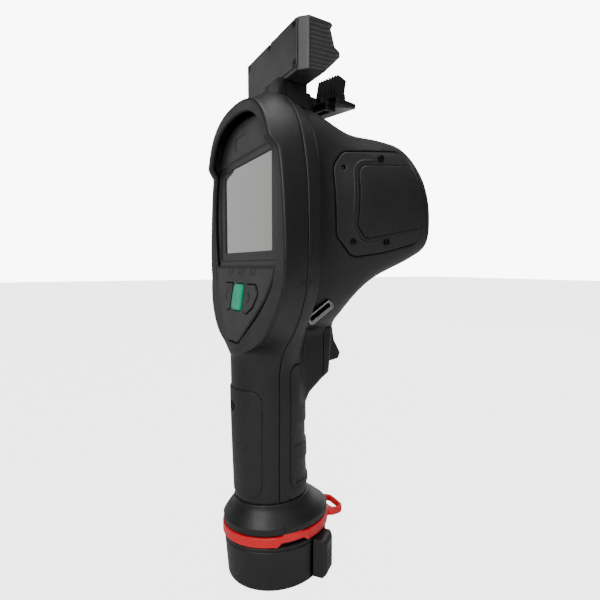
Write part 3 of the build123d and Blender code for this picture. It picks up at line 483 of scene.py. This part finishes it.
# Base colour, roughness, speckle, swing of roughness, depth of grain, and the grain's scale.
FINISHES = {
    "shell_plastic": ((0.0105, 0.0107, 0.0112), 0.44, 0.006, 0.05, 0.22),
    "panel_plastic": ((0.017, 0.0172, 0.018), 0.42, 0.006, 0.05, 0.15),
    # screen_glass: the light grey base colour is a painted reflection that stands in for the bright room
    # mirrored in the dark screen; the coat adds real reflections on top
    "screen_glass": ((0.33, 0.335, 0.32), 0.07, 0.004, 0.02, 0.0),
    "green_key": ((0.0, 0.48, 0.25), 0.28, 0.01, 0.05, 0.06),
    "dark_key": ((0.010, 0.010, 0.011), 0.38, 0.005, 0.05, 0.15),
    "pad_rubber": ((0.0115, 0.0117, 0.012), 0.50, 0.006, 0.05, 0.35, 1800.0),
    "cover_plastic": ((0.0135, 0.0137, 0.0143), 0.42, 0.006, 0.05, 0.18),
    "light_metal": ((0.40, 0.405, 0.41), 0.32, 0.03, 0.08, 0.10, 900.0),
    "screw_steel": ((0.05, 0.05, 0.055), 0.35, 0.01, 0.08, 0.1, 1500.0),
    "red_rubber": ((0.86, 0.008, 0.018), 0.36, 0.03, 0.06, 0.12),
    "battery_plastic": ((0.0105, 0.0107, 0.0112), 0.42, 0.006, 0.05, 0.22),
    "trigger_plastic": ((0.012, 0.0122, 0.0127), 0.40, 0.006, 0.05, 0.15),
    "lens_coating": ((0.02, 0.03, 0.05), 0.06, 0.01, 0.02, 0.0),
    "lens_metal": ((0.015, 0.015, 0.017), 0.38, 0.004, 0.05, 0.12),
    "board_green": ((0.01, 0.10, 0.05), 0.35, 0.02, 0.08, 0.1),
    "inner_metal": ((0.5, 0.51, 0.52), 0.4, 0.04, 0.1, 0.1, 900.0),
    "cell_wrap": ((0.05, 0.12, 0.28), 0.3, 0.02, 0.06, 0.05),
    "contact_gold": ((0.75, 0.52, 0.2), 0.25, 0.03, 0.06, 0.05),
    "bar_plastic": ((0.034, 0.035, 0.0355), 0.36, 0.006, 0.05, 0.14),
    "bar_glass": ((0.006, 0.006, 0.008), 0.08, 0.002, 0.02, 0.0),
    "bracket_metal": ((0.017, 0.0172, 0.0176), 0.36, 0.006, 0.06, 0.25, 1600.0),
}
SOCKETS = {
    "screen_glass": {"Metallic": 0.7, "Coat Weight": 1.0, "Coat Roughness": 0.03},
    "green_key": {"Specular IOR Level": 0.25},
    "light_metal": {"Metallic": 1.0},
    "screw_steel": {"Metallic": 1.0},
    "lens_coating": {"Metallic": 0.6, "Coat Weight": 1.0},
    "lens_metal": {"Metallic": 0.5},
    "inner_metal": {"Metallic": 1.0},
    "contact_gold": {"Metallic": 1.0},
    "bar_glass": {"Coat Weight": 1.0},
    "bracket_metal": {"Metallic": 0.3},
}
finish = {name: shader(name, SOCKETS.get(name, {}), *row) for name, row in FINISHES.items()}
slot_of = {row["node"]: row["material_slot"] for row in frame["record"]["subparts"]}
body_name = {n: b for b, members in frame["record"]["behaviour"]["bodies"].items() for n in members}
for node_name, node in nodes.items():
    node.data.materials.clear()
    node.data.materials.append(finish[slot_of[node_name]])


# ---------------------------------------------------------------- piece tools
def stand_in(node_name, mesh):
    """Makes a mesh the visible piece of one CAD node, on that node's body and slot."""
    piece = bpy.data.objects.new(node_name + "_skin", mesh)
    bpy.context.scene.collection.objects.link(piece)
    mesh.materials.clear()
    mesh.materials.append(finish[slot_of[node_name]])
    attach(piece, body_name[node_name])
    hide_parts(node_name)
    return piece


def apply_modifiers(piece):
    """Bakes a piece's modifiers into its mesh."""
    graph = bpy.context.evaluated_depsgraph_get()
    mesh = bpy.data.meshes.new_from_object(piece.evaluated_get(graph))
    piece.modifiers.clear()
    piece.data = mesh


def mould(node_name, field, step, keep=1.0, grow=0.0):
    """Meshes a field inside its CAD node's box and makes it that node's visible piece."""
    low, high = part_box(node_name)
    low = [c / MM - grow for c in low]
    high = [c / MM + grow for c in high]
    verts, quads = net(field, low, high, step)
    mesh = bpy.data.meshes.new(node_name + "_skin")
    mesh.vertices.add(len(verts))
    mesh.vertices.foreach_set("co", (verts * MM).astype(np.float32).ravel())
    mesh.loops.add(4 * len(quads))
    mesh.loops.foreach_set("vertex_index", quads.astype(np.int32).ravel())
    mesh.polygons.add(len(quads))
    mesh.polygons.foreach_set("loop_start", np.arange(0, 4 * len(quads), 4, dtype=np.int32))
    mesh.update(calc_edges=True)
    mesh.validate()
    mesh.shade_smooth()
    piece = stand_in(node_name, mesh)
    if keep < 1.0:
        thin = piece.modifiers.new("thin", "DECIMATE")
        thin.ratio = keep
        apply_modifiers(piece)
    return piece


def soften(node_name, width, segments=2):
    """A copy of a CAD node's mesh with its flat faces joined and its edges rounded."""
    mesh = nodes[node_name].data.copy()
    piece = stand_in(node_name, mesh)
    work = bmesh.new()
    work.from_mesh(mesh)
    bmesh.ops.remove_doubles(work, verts=work.verts, dist=2e-6)
    bmesh.ops.dissolve_limit(work, angle_limit=math.radians(1.0), verts=work.verts, edges=work.edges)
    work.to_mesh(mesh)
    work.free()
    rounded = piece.modifiers.new("edges", "BEVEL")
    rounded.width = width * MM
    rounded.segments = segments
    rounded.limit_method = "ANGLE"
    rounded.angle_limit = math.radians(28)
    rounded.use_clamp_overlap = True
    rounded.miter_outer = "MITER_ARC"
    split = piece.modifiers.new("tidy", "TRIANGULATE")
    split.quad_method = "BEAUTY"
    apply_modifiers(piece)
    work = bmesh.new()
    work.from_mesh(piece.data)
    bmesh.ops.dissolve_degenerate(work, dist=1e-7, edges=work.edges)
    work.to_mesh(piece.data)
    work.free()
    piece.data.shade_smooth()
    piece.data.set_sharp_from_angle(angle=math.radians(18))
    return piece


# ---------------------------------------------------------------- body shells
SEAM = 0.16           # each shell's edge stands this far off the parting plane
BUMPER_T = 5.0
BORE_R = 22.0
ANCHOR_MID = (13.5, 163.3)
ANCHOR_TURN = math.radians(33.0)
FRAME_Y = 28.0
FRAME_LOW_Z, FRAME_TOP_Z = 116.0, 151.5
GRIP_SCREW_Z = 107.0
TRIGGER_PIN = (32.0, 151.5)


def lens_radius(x, z):
    return np.hypot(x, z - LENS_Z)


def anchor_flat(y, z, length, width, lift=0.0):
    """Rounded outline along the strap anchor's slant."""
    dy, dz = y - ANCHOR_MID[0], z - ANCHOR_MID[1]
    along = dy * math.cos(ANCHOR_TURN) + dz * math.sin(ANCHOR_TURN)
    aside = dz * math.cos(ANCHOR_TURN) - dy * math.sin(ANCHOR_TURN)
    return rounded_box(along, aside - lift, length / 2, width / 2, min(width / 2, 1.9))


def trigger_slot(x, y, z):
    """The opening that the trigger moves in."""
    return block((x, y, z), (-6.2, 22.0, 123.5), (6.2, 50.0, 158.5), 1.0)


def frame_zone(x, y, z):
    """The part of the trigger housing that belongs to the trigger frame."""
    return np.maximum(FRAME_Y - y, np.maximum(FRAME_LOW_Z - z, z - FRAME_TOP_Z))


def front_shell(x, y, z):
    whole = body(x, y, z)
    side_x = np.abs(x)
    shape = np.maximum(whole, -(whole + WALL))
    shape = soft_max(shape, PARTING_Y + SEAM - y, 0.5)
    shape = soft_max(shape, front_height(y, z) + BUMPER_T + 0.15, 0.5)
    shape = np.maximum(shape, -np.maximum(lens_radius(x, z) - BORE_R, 60.0 - y))
    pocket = np.maximum(cover_flat(y, z) - 0.5, np.maximum(-(whole + 1.3), 30.0 - side_x))
    shape = soft_max(shape, -pocket, 0.5)
    shape = soft_max(shape, -np.maximum(anchor_flat(y, z, 19.6, 6.4), 25.4 - side_x), 0.6)
    shape = soft_max(shape, -trigger_slot(x, y, z), 0.5)
    return soft_max(shape, -np.maximum(frame_zone(x, y, z) - 0.15, side_x - 20.0), 0.4)


def rear_shell(x, y, z):
    whole = body(x, y, z)
    shape = np.maximum(whole, -(whole + WALL))
    shape = soft_max(shape, y - PARTING_Y + SEAM, 0.5)
    pocket = np.maximum(panel_outline(x, z) - 0.5, y + 15.5)
    shape = soft_max(shape, -pocket, 1.2)
    hole = np.maximum(np.hypot(x, z - GRIP_SCREW_Z) - 2.7, y + 20.0)
    return soft_max(shape, -hole, 0.4)


def front_bumper(x, y, z):
    whole = lens_head(x, y, z)
    shape = np.maximum(whole, -front_height(y, z) - BUMPER_T + 0.15)
    bore = lens_radius(x, z) - BORE_R - 3.5 * smooth_step(-3.5, 0.5, front_height(y, z))
    return soft_max(shape, -bore, 0.8)


def side_cover(sign):
    def field(x, y, z):
        whole = body(x, y, z)
        pad = side_pad_flat(y, z)
        shape = plate(cover_flat(y, z), np.abs(whole + 0.55) - 0.65, 0.45)
        ridge = np.maximum(np.abs(pad - 2.9) - 0.35, (y - 46.0) * 0.8 + (z - 236.0) * 0.2)
        shape = soft_min(shape, plate(ridge, np.abs(whole + 0.2) - 0.55, 0.25), 0.4)
        shape = soft_max(shape, -np.maximum(pad - 0.25, -(whole + 0.35)), 0.3)
        for sy, sz in SIDE_SCREWS:
            shape = soft_max(shape, 1.35 - np.hypot(y - sy, z - sz), 0.2)
        return np.maximum(shape, 20.0 - sign * x)

    return field


def side_pad(sign):
    def field(x, y, z):
        whole = body(x, y, z)
        shape = plate(side_pad_flat(y, z), np.abs(whole + 0.0) - 0.35, 0.3)
        return np.maximum(shape, 20.0 - sign * x)

    return field


SIDE_SCREWS = [(23.6, 243.7), (48.4, 251.0), (30.8, 203.6), (52.9, 203.6)]


# ---------------------------------------------------------------- display panel and keys
WINDOW_Z = sum(c.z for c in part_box("display_window")) / 2 / MM
KEY_Z = 171.3
NORMAL = np.array([-1.0, LEAN_SLOPE]) / math.hypot(1.0, LEAN_SLOPE)
POWER_KEY = [(-7.0, -7.6), (7.0, -7.6), (6.4, 7.8), (-6.4, 7.8)]
ARROW_KEY = [(9.8, 8.0), (24.0, 8.0), (28.6, 3.2), (24.0, -4.2), (16.0, -8.4), (9.8, -7.8)]
power_flat = polygon(POWER_KEY, 2.6)
arrow_flat = polygon(ARROW_KEY, 2.4)


def on_panel(y, z):
    """Height above the leaning panel and place along it, from the key row's centre."""
    dy, dz = y - lean_y(KEY_Z), z - KEY_Z
    return dy * NORMAL[0] + dz * NORMAL[1], dz * -NORMAL[0] + dy * NORMAL[1]


def rounded_box(u, v, half_u, half_v, round_r):
    a, b = np.abs(u) - half_u + round_r, np.abs(v) - half_v + round_r
    return np.hypot(np.maximum(a, 0), np.maximum(b, 0)) + np.minimum(np.maximum(a, b), 0) - round_r


def bezel_panel(x, y, z):
    """Leaning panel with a sunk frame round the display, key openings and small icons."""
    lean = smooth_step(191.0, 187.0, z)
    rear = PANEL_Y * (1 - lean) + lean_y(z) * lean
    frame_edge = rounded_box(x, z - 222.8, 43.0, 31.0, 4.0)
    rear = rear + 1.0 * smooth_step(0.2, -1.8, frame_edge)
    window = rounded_box(x, z - WINDOW_Z, 36.0, 25.75, 1.2)
    shape = np.maximum(panel_outline(x, z), np.maximum(rear - y, y - PANEL_Y - 3.0 - 4.0 * lean))
    shape = soft_max(shape, (panel_outline(x, z) + rear - y) * 0.7071 + 0.35, 0.4)
    back = np.maximum(rounded_box(x, z - WINDOW_Z, 42.0, 31.0, 2.0), PANEL_Y + 1.75 - y)
    lower = np.maximum(z - 190.0, lean_y(z) + 2.4 - y)
    shape = np.maximum(shape, -np.minimum(back, lower))
    shape = soft_max(shape, -window, 0.5)
    height, up = on_panel(y, z)
    side_x = np.abs(x)
    for key in (power_flat(x, up), arrow_flat(side_x, up)):
        shape = soft_max(shape, 0.35 - key, 0.4)
    icon = np.abs(rounded_box(np.abs(side_x - 9.0) - 9.0, z - 187.0, 2.6, 2.3, 0.7)) - 0.28
    mark = np.minimum(
        rounded_box(x + 5.0, z - 265.6, 7.5, 0.4, 0.3), rounded_box(x + 12.2, z - 262.0, 0.4, 3.8, 0.3)
    )
    dots = np.hypot(side_x - 2.2, z - 270.2) - 0.7
    shallow = np.minimum(icon, np.minimum(mark, dots))
    return np.maximum(shape, -np.maximum(shallow, y - rear - 0.35))


def power_button(x, y, z):
    height, up = on_panel(y, z)
    crown = 1.5 - (x**2 + 0.6 * up**2) / 260.0
    stem = plate(power_flat(x, up), np.maximum(height - crown, -3.6 - height), 0.9)
    flange = np.maximum(power_flat(x, up) - 0.9, np.abs(height + 3.2) - 0.5)
    groove = np.maximum(np.abs(x) - 0.4, np.abs(up) - 3.4)
    return np.minimum(soft_max(stem, -np.maximum(groove, crown - 0.35 - height), 0.3), flange)


def arrow_key(sign):
    def field(x, y, z):
        height, up = on_panel(y, z)
        x = sign * x
        crown = 0.75 - ((x - 18.0) ** 2 + up**2) / 900.0
        stem = plate(arrow_flat(x, up), np.maximum(height - crown, -3.6 - height), 0.5)
        flange = np.maximum(arrow_flat(x, up) - 0.9, np.abs(height + 3.2) - 0.5)
        mark = np.abs(np.abs(up - 0.5) - 3.0 + (x - 16.0) * 0.75) - 0.4
        mark = np.maximum(mark, np.abs(x - 17.8) - 2.2)
        return np.minimum(np.maximum(stem, -np.maximum(mark, crown - 0.3 - height)), flange)

    return field


# ---------------------------------------------------------------- trigger, handle and foot
trigger_flat = polygon(TRIGGER, 2.2)
rear_pad_flat = polygon([(-45, 53.5), (-17, 53.5), (-17, 118), (-45, 118)], 7.0)
front_pad_flat = polygon([(0.5, 56), (45, 56), (45, 132), (0.5, 132)], 6.0)


def trigger(x, y, z):
    shape = plate(trigger_flat(y, z), np.abs(x) - 5.5, 1.8)
    return soft_max(shape, 1.56 - np.hypot(y - TRIGGER_PIN[0], z - TRIGGER_PIN[1]), 0.1)


def trigger_frame(x, y, z):
    shape = soft_max(body(x, y, z), frame_zone(x, y, z) + 0.15, 0.5)
    shape = np.maximum(shape, np.abs(x) - 11.6)
    return soft_max(shape, -trigger_slot(x, y, z), 0.7)


def rear_grip_pad(x, y, z):
    skin = grip_loft(z, x, y)
    shape = plate(rear_pad_flat(y, z), np.abs(skin - 0.15) - 0.55, 0.5)
    hole = np.maximum(np.hypot(x, z - GRIP_SCREW_Z) - 3.2, y + 10.0)
    return soft_max(shape, -hole, 0.4)


def front_grip_pad(x, y, z):
    """Pad with two finger recesses that are cut square below and fade out above."""
    skin = grip_loft(z, x, y)
    thick = 0.75
    for low in (60.0, 82.6):
        up = z - low
        dip = smooth_step(-0.35, 0.35, up) * smooth_step(13.5, 8.0, up)
        reach = smooth_step(3.0, 5.5, y - 0.12 * np.maximum(up - 5.0, 0) ** 1.6)
        thick = thick - 1.35 * dip * reach
    shape = plate(front_pad_flat(y, z), np.abs(skin - thick / 2 + 0.55) - thick / 2 - 0.55, 0.4)
    return soft_max(shape, -(housing_flat(y, z) - 0.5), 0.4)


def oval(x, y, half):
    """Signed distance, nearly, to an upright oval cylinder on the foot's axis."""
    ratio = np.hypot(x / half[0], y / half[1])
    return (ratio - 1.0) * np.hypot(x, y) / np.maximum(ratio, 0.05)


def base_collar(x, y, z):
    """Flared foot over the ring's seat, hollow for the battery, with a mould line."""
    flare = np.maximum(flare_loft(z, x, y), np.maximum(SHOULDER_Z - z, z - HANDLE_LOW_Z + 0.1))
    band = plate(oval(x, y, COLLAR_OVAL), np.abs(z - 36.9) - 2.3, 0.7)
    seat = np.maximum(oval(x, y, SEAT_OVAL), np.abs(z - 31.9) - 4.0)
    shape = np.minimum(soft_min(flare, band, 0.6), seat)
    well = np.maximum(np.hypot(x, y) - 23.4, z - 40.3)
    throat = np.maximum(flare_loft(z, x, y) + WALL, SHOULDER_Z - z)
    shape = np.maximum(shape, -np.minimum(well, throat))
    outside = np.minimum(flare_loft(z, x, y), oval(x, y, COLLAR_OVAL))
    groove = np.maximum(np.abs(y - PARTING_Y) - 0.2, -(outside + 0.8))
    return soft_max(shape, -np.maximum(groove, 33.0 - z), 0.15)


RING_CORNERS = (math.radians(-24.0), math.radians(15.0))
RING_MID = (RING_CORNERS[0] + RING_CORNERS[1]) / 2
LOOP_MID = (3.0, 36.6)


def lanyard_ring(x, y, z):
    """Red oval ring with a flat facet between two pointed corners on each side, and a loop."""
    side_x = np.abs(x)
    turn = np.arctan2(y, side_x)
    facet = side_x * math.cos(RING_MID) + y * math.sin(RING_MID) - 28.75
    wide = oval(x, y, (RING_OVAL[0] - 0.3, RING_OVAL[1] - 0.3))
    swell = 0.55 * sum(smooth_step(0.10, 0.0, np.abs(turn - c)) for c in RING_CORNERS)
    between = smooth_step(0.37, 0.31, np.abs(turn - RING_MID))
    outer = np.maximum(wide - swell, facet - 3.0 * (1 - between))
    tips = smooth_step(0.10, 0.0, turn - RING_CORNERS[0]) * (turn > RING_CORNERS[0] - 0.03)
    tips = tips + smooth_step(0.10, 0.0, RING_CORNERS[1] - turn) * (turn < RING_CORNERS[1] + 0.03)
    low = 28.6 + 1.9 * between * (1 - np.clip(tips, 0, 1)) - 0.3 * (1 - between)
    lip = between * smooth_step(0.24, 0.20, np.abs(turn - RING_MID))
    high = 34.3 - 0.25 * (1 - between)
    ring = plate(np.maximum(outer, 0.05 - oval(x, y, SEAT_OVAL)), np.maximum(low - z, z - high), 0.4)
    ledge = np.maximum(np.maximum(outer + 0.55, 0.05 - oval(x, y, SEAT_OVAL)), np.abs(z - 34.7) - 0.6)
    ledge = np.maximum(ledge, (0.5 - lip) * 2.0)
    lug = rounded_box(x - LOOP_MID[0], y - LOOP_MID[1], 10.5, 7.2, 6.0)
    eye = rounded_box(x - LOOP_MID[0], y - LOOP_MID[1] - 1.9, 7.4, 3.1, 2.9)
    loop = plate(np.maximum(lug, 0.05 - oval(x, y, SEAT_OVAL)), np.abs(z - 30.5) - 2.0, 0.7)
    shape = soft_max(soft_min(ring, loop, 1.2), -eye, 0.8)
    return np.minimum(shape, ledge)


LATCH_TURN = math.radians(39.0)
LATCH_MID_Z = 14.3
POCKET_R, POCKET_HALF_W = 25.2, 7.4
BATTERY_TOP_Z = 25.1
BAY_HALF_X, CONTACT_PITCH = 15.0, 9.0


def along_latch(x, y):
    """Distance out along the nearer latch's axis, and aside from it."""
    side_x = np.abs(x)
    return (
        side_x * math.cos(LATCH_TURN) + y * math.sin(LATCH_TURN),
        y * math.cos(LATCH_TURN) - side_x * math.sin(LATCH_TURN),
    )


def battery_side(x, y, z):
    """Battery's tapered oval side."""
    t = np.clip(z / BATTERY_TOP_Z, 0.0, 1.1)
    half = [low + (top - low) * t for low, top in zip(BATTERY_LOW_OVAL, BATTERY_TOP_OVAL)]
    return oval(x, y, half)


def battery_case(x, y, z):
    side = battery_side(x, y, z)
    shape = plate(side, np.abs(z - 12.55) - 12.5, 2.6)
    shape = np.where(z > 18.0, np.maximum(side, z - 25.05), shape)
    out, aside = along_latch(x, y)
    recess = np.maximum(POCKET_R - out, np.abs(aside) - POCKET_HALF_W)
    pocket = np.maximum(recess, np.abs(z - LATCH_MID_Z) - 12.1)
    shape = soft_max(shape, -pocket, 0.5)
    room = np.maximum(np.maximum(np.abs(x) - 17.4, np.abs(y + 3.0) - 18.6), 3.0 - z)
    return np.maximum(shape, -room)


def battery_lid(x, y, z):
    lid = plate(battery_side(x, y, z), np.abs(z - 26.3) - 1.15, 0.5)
    spigot = plate(np.hypot(x, y) - 23.0, np.abs(z - 29.8) - 2.7, 0.8)
    shape = soft_min(lid, spigot, 0.5)
    room = np.maximum(np.maximum(np.abs(x) - BAY_HALF_X, np.abs(y) - 10.0), z - 30.1)
    sockets = np.minimum(np.hypot(x, y) - 2.0, np.hypot(np.abs(x) - CONTACT_PITCH, y) - 2.0)
    shape = np.maximum(shape, -np.maximum(room, 24.9 - z))
    shape = np.maximum(shape, -np.maximum(sockets, 31.9 - z))
    out, aside = along_latch(x, y)
    pocket = np.maximum(np.maximum(POCKET_R - out, np.abs(aside) - POCKET_HALF_W), z - 26.4)
    return np.maximum(shape, -pocket)


def latch(sign):
    def field(x, y, z):
        out, aside = along_latch(x, y)
        up = np.abs(z - LATCH_MID_Z)
        shape = np.maximum(np.maximum(np.abs(out - 31.9) - 4.25, np.abs(aside) - 7.0), up - 11.65)
        bevel = (out - 36.15 + np.maximum(np.abs(aside) - 4.8, up - 9.4)) * 0.707
        shape = soft_max(shape, bevel, 0.7)
        rib = np.abs(np.mod(z - LATCH_MID_Z + 1.6, 3.2) - 1.6) - 0.55
        ribs = np.maximum(np.maximum(rib, np.abs(aside) - 4.0), up - 6.2)
        shape = soft_max(shape, -np.maximum(ribs, 35.7 - out), 0.25)
        return np.maximum(shape, -sign * x)

    return field


def strap_anchor(sign):
    def field(x, y, z):
        thick = np.abs(sign * x - 28.75) - 3.2
        shape = plate(anchor_flat(y, z, 18.8, 5.6), thick, 0.5)
        return soft_max(shape, -anchor_flat(y, z, 15.2, 2.7, 0.45), 0.3)

    return field


mould("rear_shell", rear_shell, 0.75, 0.5)
mould("front_shell", front_shell, 0.8, 0.5)
mould("front_bumper", front_bumper, 0.7, 0.6)
mould("bezel_panel", bezel_panel, 0.5, 0.6)
mould("power_button", power_button, 0.35, 0.7)
mould("base_collar", base_collar, 0.7, 0.6)
mould("lanyard_ring", lanyard_ring, 0.4, 0.8)
mould("battery_case", battery_case, 0.7, 0.6)
mould("battery_lid", battery_lid, 0.7, 0.6)
mould("trigger", trigger, 0.4, 0.7)
mould("trigger_frame", trigger_frame, 0.5, 0.8)
mould("rear_grip_pad", rear_grip_pad, 0.6, 0.7)
mould("front_grip_pad", front_grip_pad, 0.5, 0.7)
for hand, sign in (("right", 1), ("left", -1)):
    mould(hand + "_key", arrow_key(sign), 0.35, 0.7)
    mould(hand + "_side_cover", side_cover(sign), 0.5, 0.7, grow=1.0)
    mould(hand + "_side_pad", side_pad(sign), 0.55, 0.7, grow=5.5)
    mould(hand + "_latch", latch(sign), 0.4, 0.7)
    mould(hand + "_strap_anchor", strap_anchor(sign), 0.35, 0.7, grow=0.3)

# ---------------------------------------------------------------- accessory bar and lamp
BAR = [
    (-3.3, 291.7), (-3.3, 319.15), (1.5, 319.15), (14.9, 318.4), (16.3, 317.2), (14.9, 314.9),
    (17.5, 306.3), (20.7, 304.4), (20.9, 301.8), (11.4, 292.3),
]
BAR_REAR_Y = -3.3
BAR_HALF_X = 38.8
BAR_SCREWS = [(-31, 316.5), (0, 317.2), (31, 316.5), (-31, 296.8), (31, 296.8)]
bar_flat = polygon(BAR, 0.5)


def bar_outer(x, y, z):
    """Bar's profile with broad chamfers on its rear upright edges."""
    side_x = np.abs(x)
    ends = soft_max(side_x - BAR_HALF_X, (side_x - 34.0 + BAR_REAR_Y - y) * 0.7071, 0.5)
    return soft_max(bar_flat(y, z), ends, 0.5)


def bar_cover(x, y, z):
    edge = rounded_box(x, z - 306.7, 33.85, 12.3, 0.6)
    shape = plate(edge, np.abs(y - BAR_REAR_Y - 1.0) - 1.0, 0.3)
    for sx, sz in BAR_SCREWS:
        shape = soft_max(shape, 1.75 - np.hypot(x - sx, z - sz), 0.3)
    return shape


def bar_housing(x, y, z):
    shape = bar_outer(x, y, z)
    room = np.maximum(rounded_box(x, z - 306.7, 34.05, 12.5, 0.6), y - BAR_REAR_Y - 2.1)
    inner = np.maximum(np.maximum(np.abs(x) - 35.5, np.abs(z - 305.9) - 10.9), np.abs(y - 5.1) - 6.4)
    shape = np.maximum(shape, -np.minimum(room, inner))
    slot = rounded_box(x, z - 310.6, 31.0, 3.8, 1.0)
    shape = soft_max(shape, -np.maximum(slot, 10.5 - y), 0.4)
    wave = 0.5 + 0.5 * np.cos((z - 293.4) * (TAU / 2.3))
    within = smooth_step(0.9, 1.9, -bar_flat(y, z)) * smooth_step(2.2, 2.8, y)
    return np.maximum(shape, np.abs(x) - BAR_HALF_X + 0.55 * wave * within)


mould("bar_housing", bar_housing, 0.4, 0.5)
mould("bar_cover", bar_cover, 0.4, 0.5)
for crisp, width in (
    ("bar_bracket", 0.4),
    ("clamp_block", 0.4),
    ("shelf_post", 0.25),
    ("shelf_plate", 0.3),
    ("shelf_bolt", 0.25),
    ("lamp_bracket", 0.25),
    ("lamp_module", 0.2),
    ("bar_window", 0.15),
):
    soften(crisp, width)

# ---------------------------------------------------------------- floor, light and camera
floor_mat = bpy.data.materials.new("floor")
floor_mat.use_nodes = True
paper = floor_mat.node_tree
matte = paper.nodes["Principled BSDF"]
matte.inputs["Base Color"].default_value = (0.72, 0.72, 0.72, 1)
matte.inputs["Roughness"].default_value = 0.8
lit = paper.nodes.new("ShaderNodeEmission")
lit.inputs["Strength"].default_value = 5.0
viewed = paper.nodes.new("ShaderNodeLightPath")
share = paper.nodes.new("ShaderNodeMath")
share.operation = "MULTIPLY"
share.inputs[1].default_value = 0.75
blend = paper.nodes.new("ShaderNodeMixShader")
paper.links.new(viewed.outputs["Is Camera Ray"], share.inputs[0])
paper.links.new(share.outputs[0], blend.inputs["Fac"])
paper.links.new(matte.outputs["BSDF"], blend.inputs[1])
paper.links.new(lit.outputs["Emission"], blend.inputs[2])
paper.links.new(blend.outputs["Shader"], paper.nodes["Material Output"].inputs["Surface"])
floor_mesh = bpy.data.meshes.new("floor")
floor_mesh.from_pydata([(-6, -6, 0), (6, -6, 0), (6, 6, 0), (-6, 6, 0)], [], [(0, 1, 2, 3)])
floor_mesh.materials.append(floor_mat)
floor = bpy.data.objects.new("floor", floor_mesh)
bpy.context.scene.collection.objects.link(floor)

world = bpy.data.worlds.new("studio")
world.use_nodes = True
sky = world.node_tree
backdrop = sky.nodes["Background"]
backdrop.inputs["Color"].default_value = (1, 1, 1, 1)
backdrop.inputs["Strength"].default_value = 9.0
room = sky.nodes.new("ShaderNodeBackground")
room.inputs["Color"].default_value = (1, 1, 1, 1)
room.inputs["Strength"].default_value = 0.14
seen = sky.nodes.new("ShaderNodeLightPath")
choose = sky.nodes.new("ShaderNodeMixShader")
sky.links.new(seen.outputs["Is Camera Ray"], choose.inputs["Fac"])
sky.links.new(room.outputs["Background"], choose.inputs[1])
sky.links.new(backdrop.outputs["Background"], choose.inputs[2])
sky.links.new(choose.outputs["Shader"], sky.nodes["World Output"].inputs["Surface"])
bpy.context.scene.world = world


def area_light(name, place, aim, size, watts):
    """Soft rectangular light that faces a point."""
    data = bpy.data.lights.new(name, "AREA")
    data.shape = "RECTANGLE"
    data.size, data.size_y = size
    data.energy = watts
    lamp = bpy.data.objects.new(name, data)
    lamp.location = place
    lamp.rotation_euler = (Vector(aim) - Vector(place)).to_track_quat("-Z", "Y").to_euler()
    bpy.context.scene.collection.objects.link(lamp)


CENTRE = (0.0, 0.02, 0.18)
area_light("key", (0.75, -0.75, 0.8), CENTRE, (0.35, 0.8), 9)
area_light("left", (-1.0, -0.65, 0.45), CENTRE, (0.62, 0.8), 1.1)
area_light("side", (1.2, 0.1, 0.85), CENTRE, (0.5, 0.7), 1.2)
area_light("overhead", (0.1, 0.1, 1.3), CENTRE, (0.8, 0.8), 7)
area_light("front", (-0.7, 1.0, 0.5), CENTRE, (0.8, 0.8), 4)

camera_data = bpy.data.cameras.new("camera")
camera_data.lens = 36.0 * 451.0 / 600.0
camera_data.sensor_width = 36.0
camera_data.clip_start = 0.01
camera = bpy.data.objects.new("camera", camera_data)
camera.location = (0.250, -0.1185, 0.1895)
VIEW_TURN, VIEW_TILT = math.radians(61.5), math.radians(-4.3)
camera.rotation_euler = (math.pi / 2 + VIEW_TILT, 0, VIEW_TURN)
bpy.context.scene.collection.objects.link(camera)
bpy.context.scene.camera = camera

bpy.context.view_layer.update()
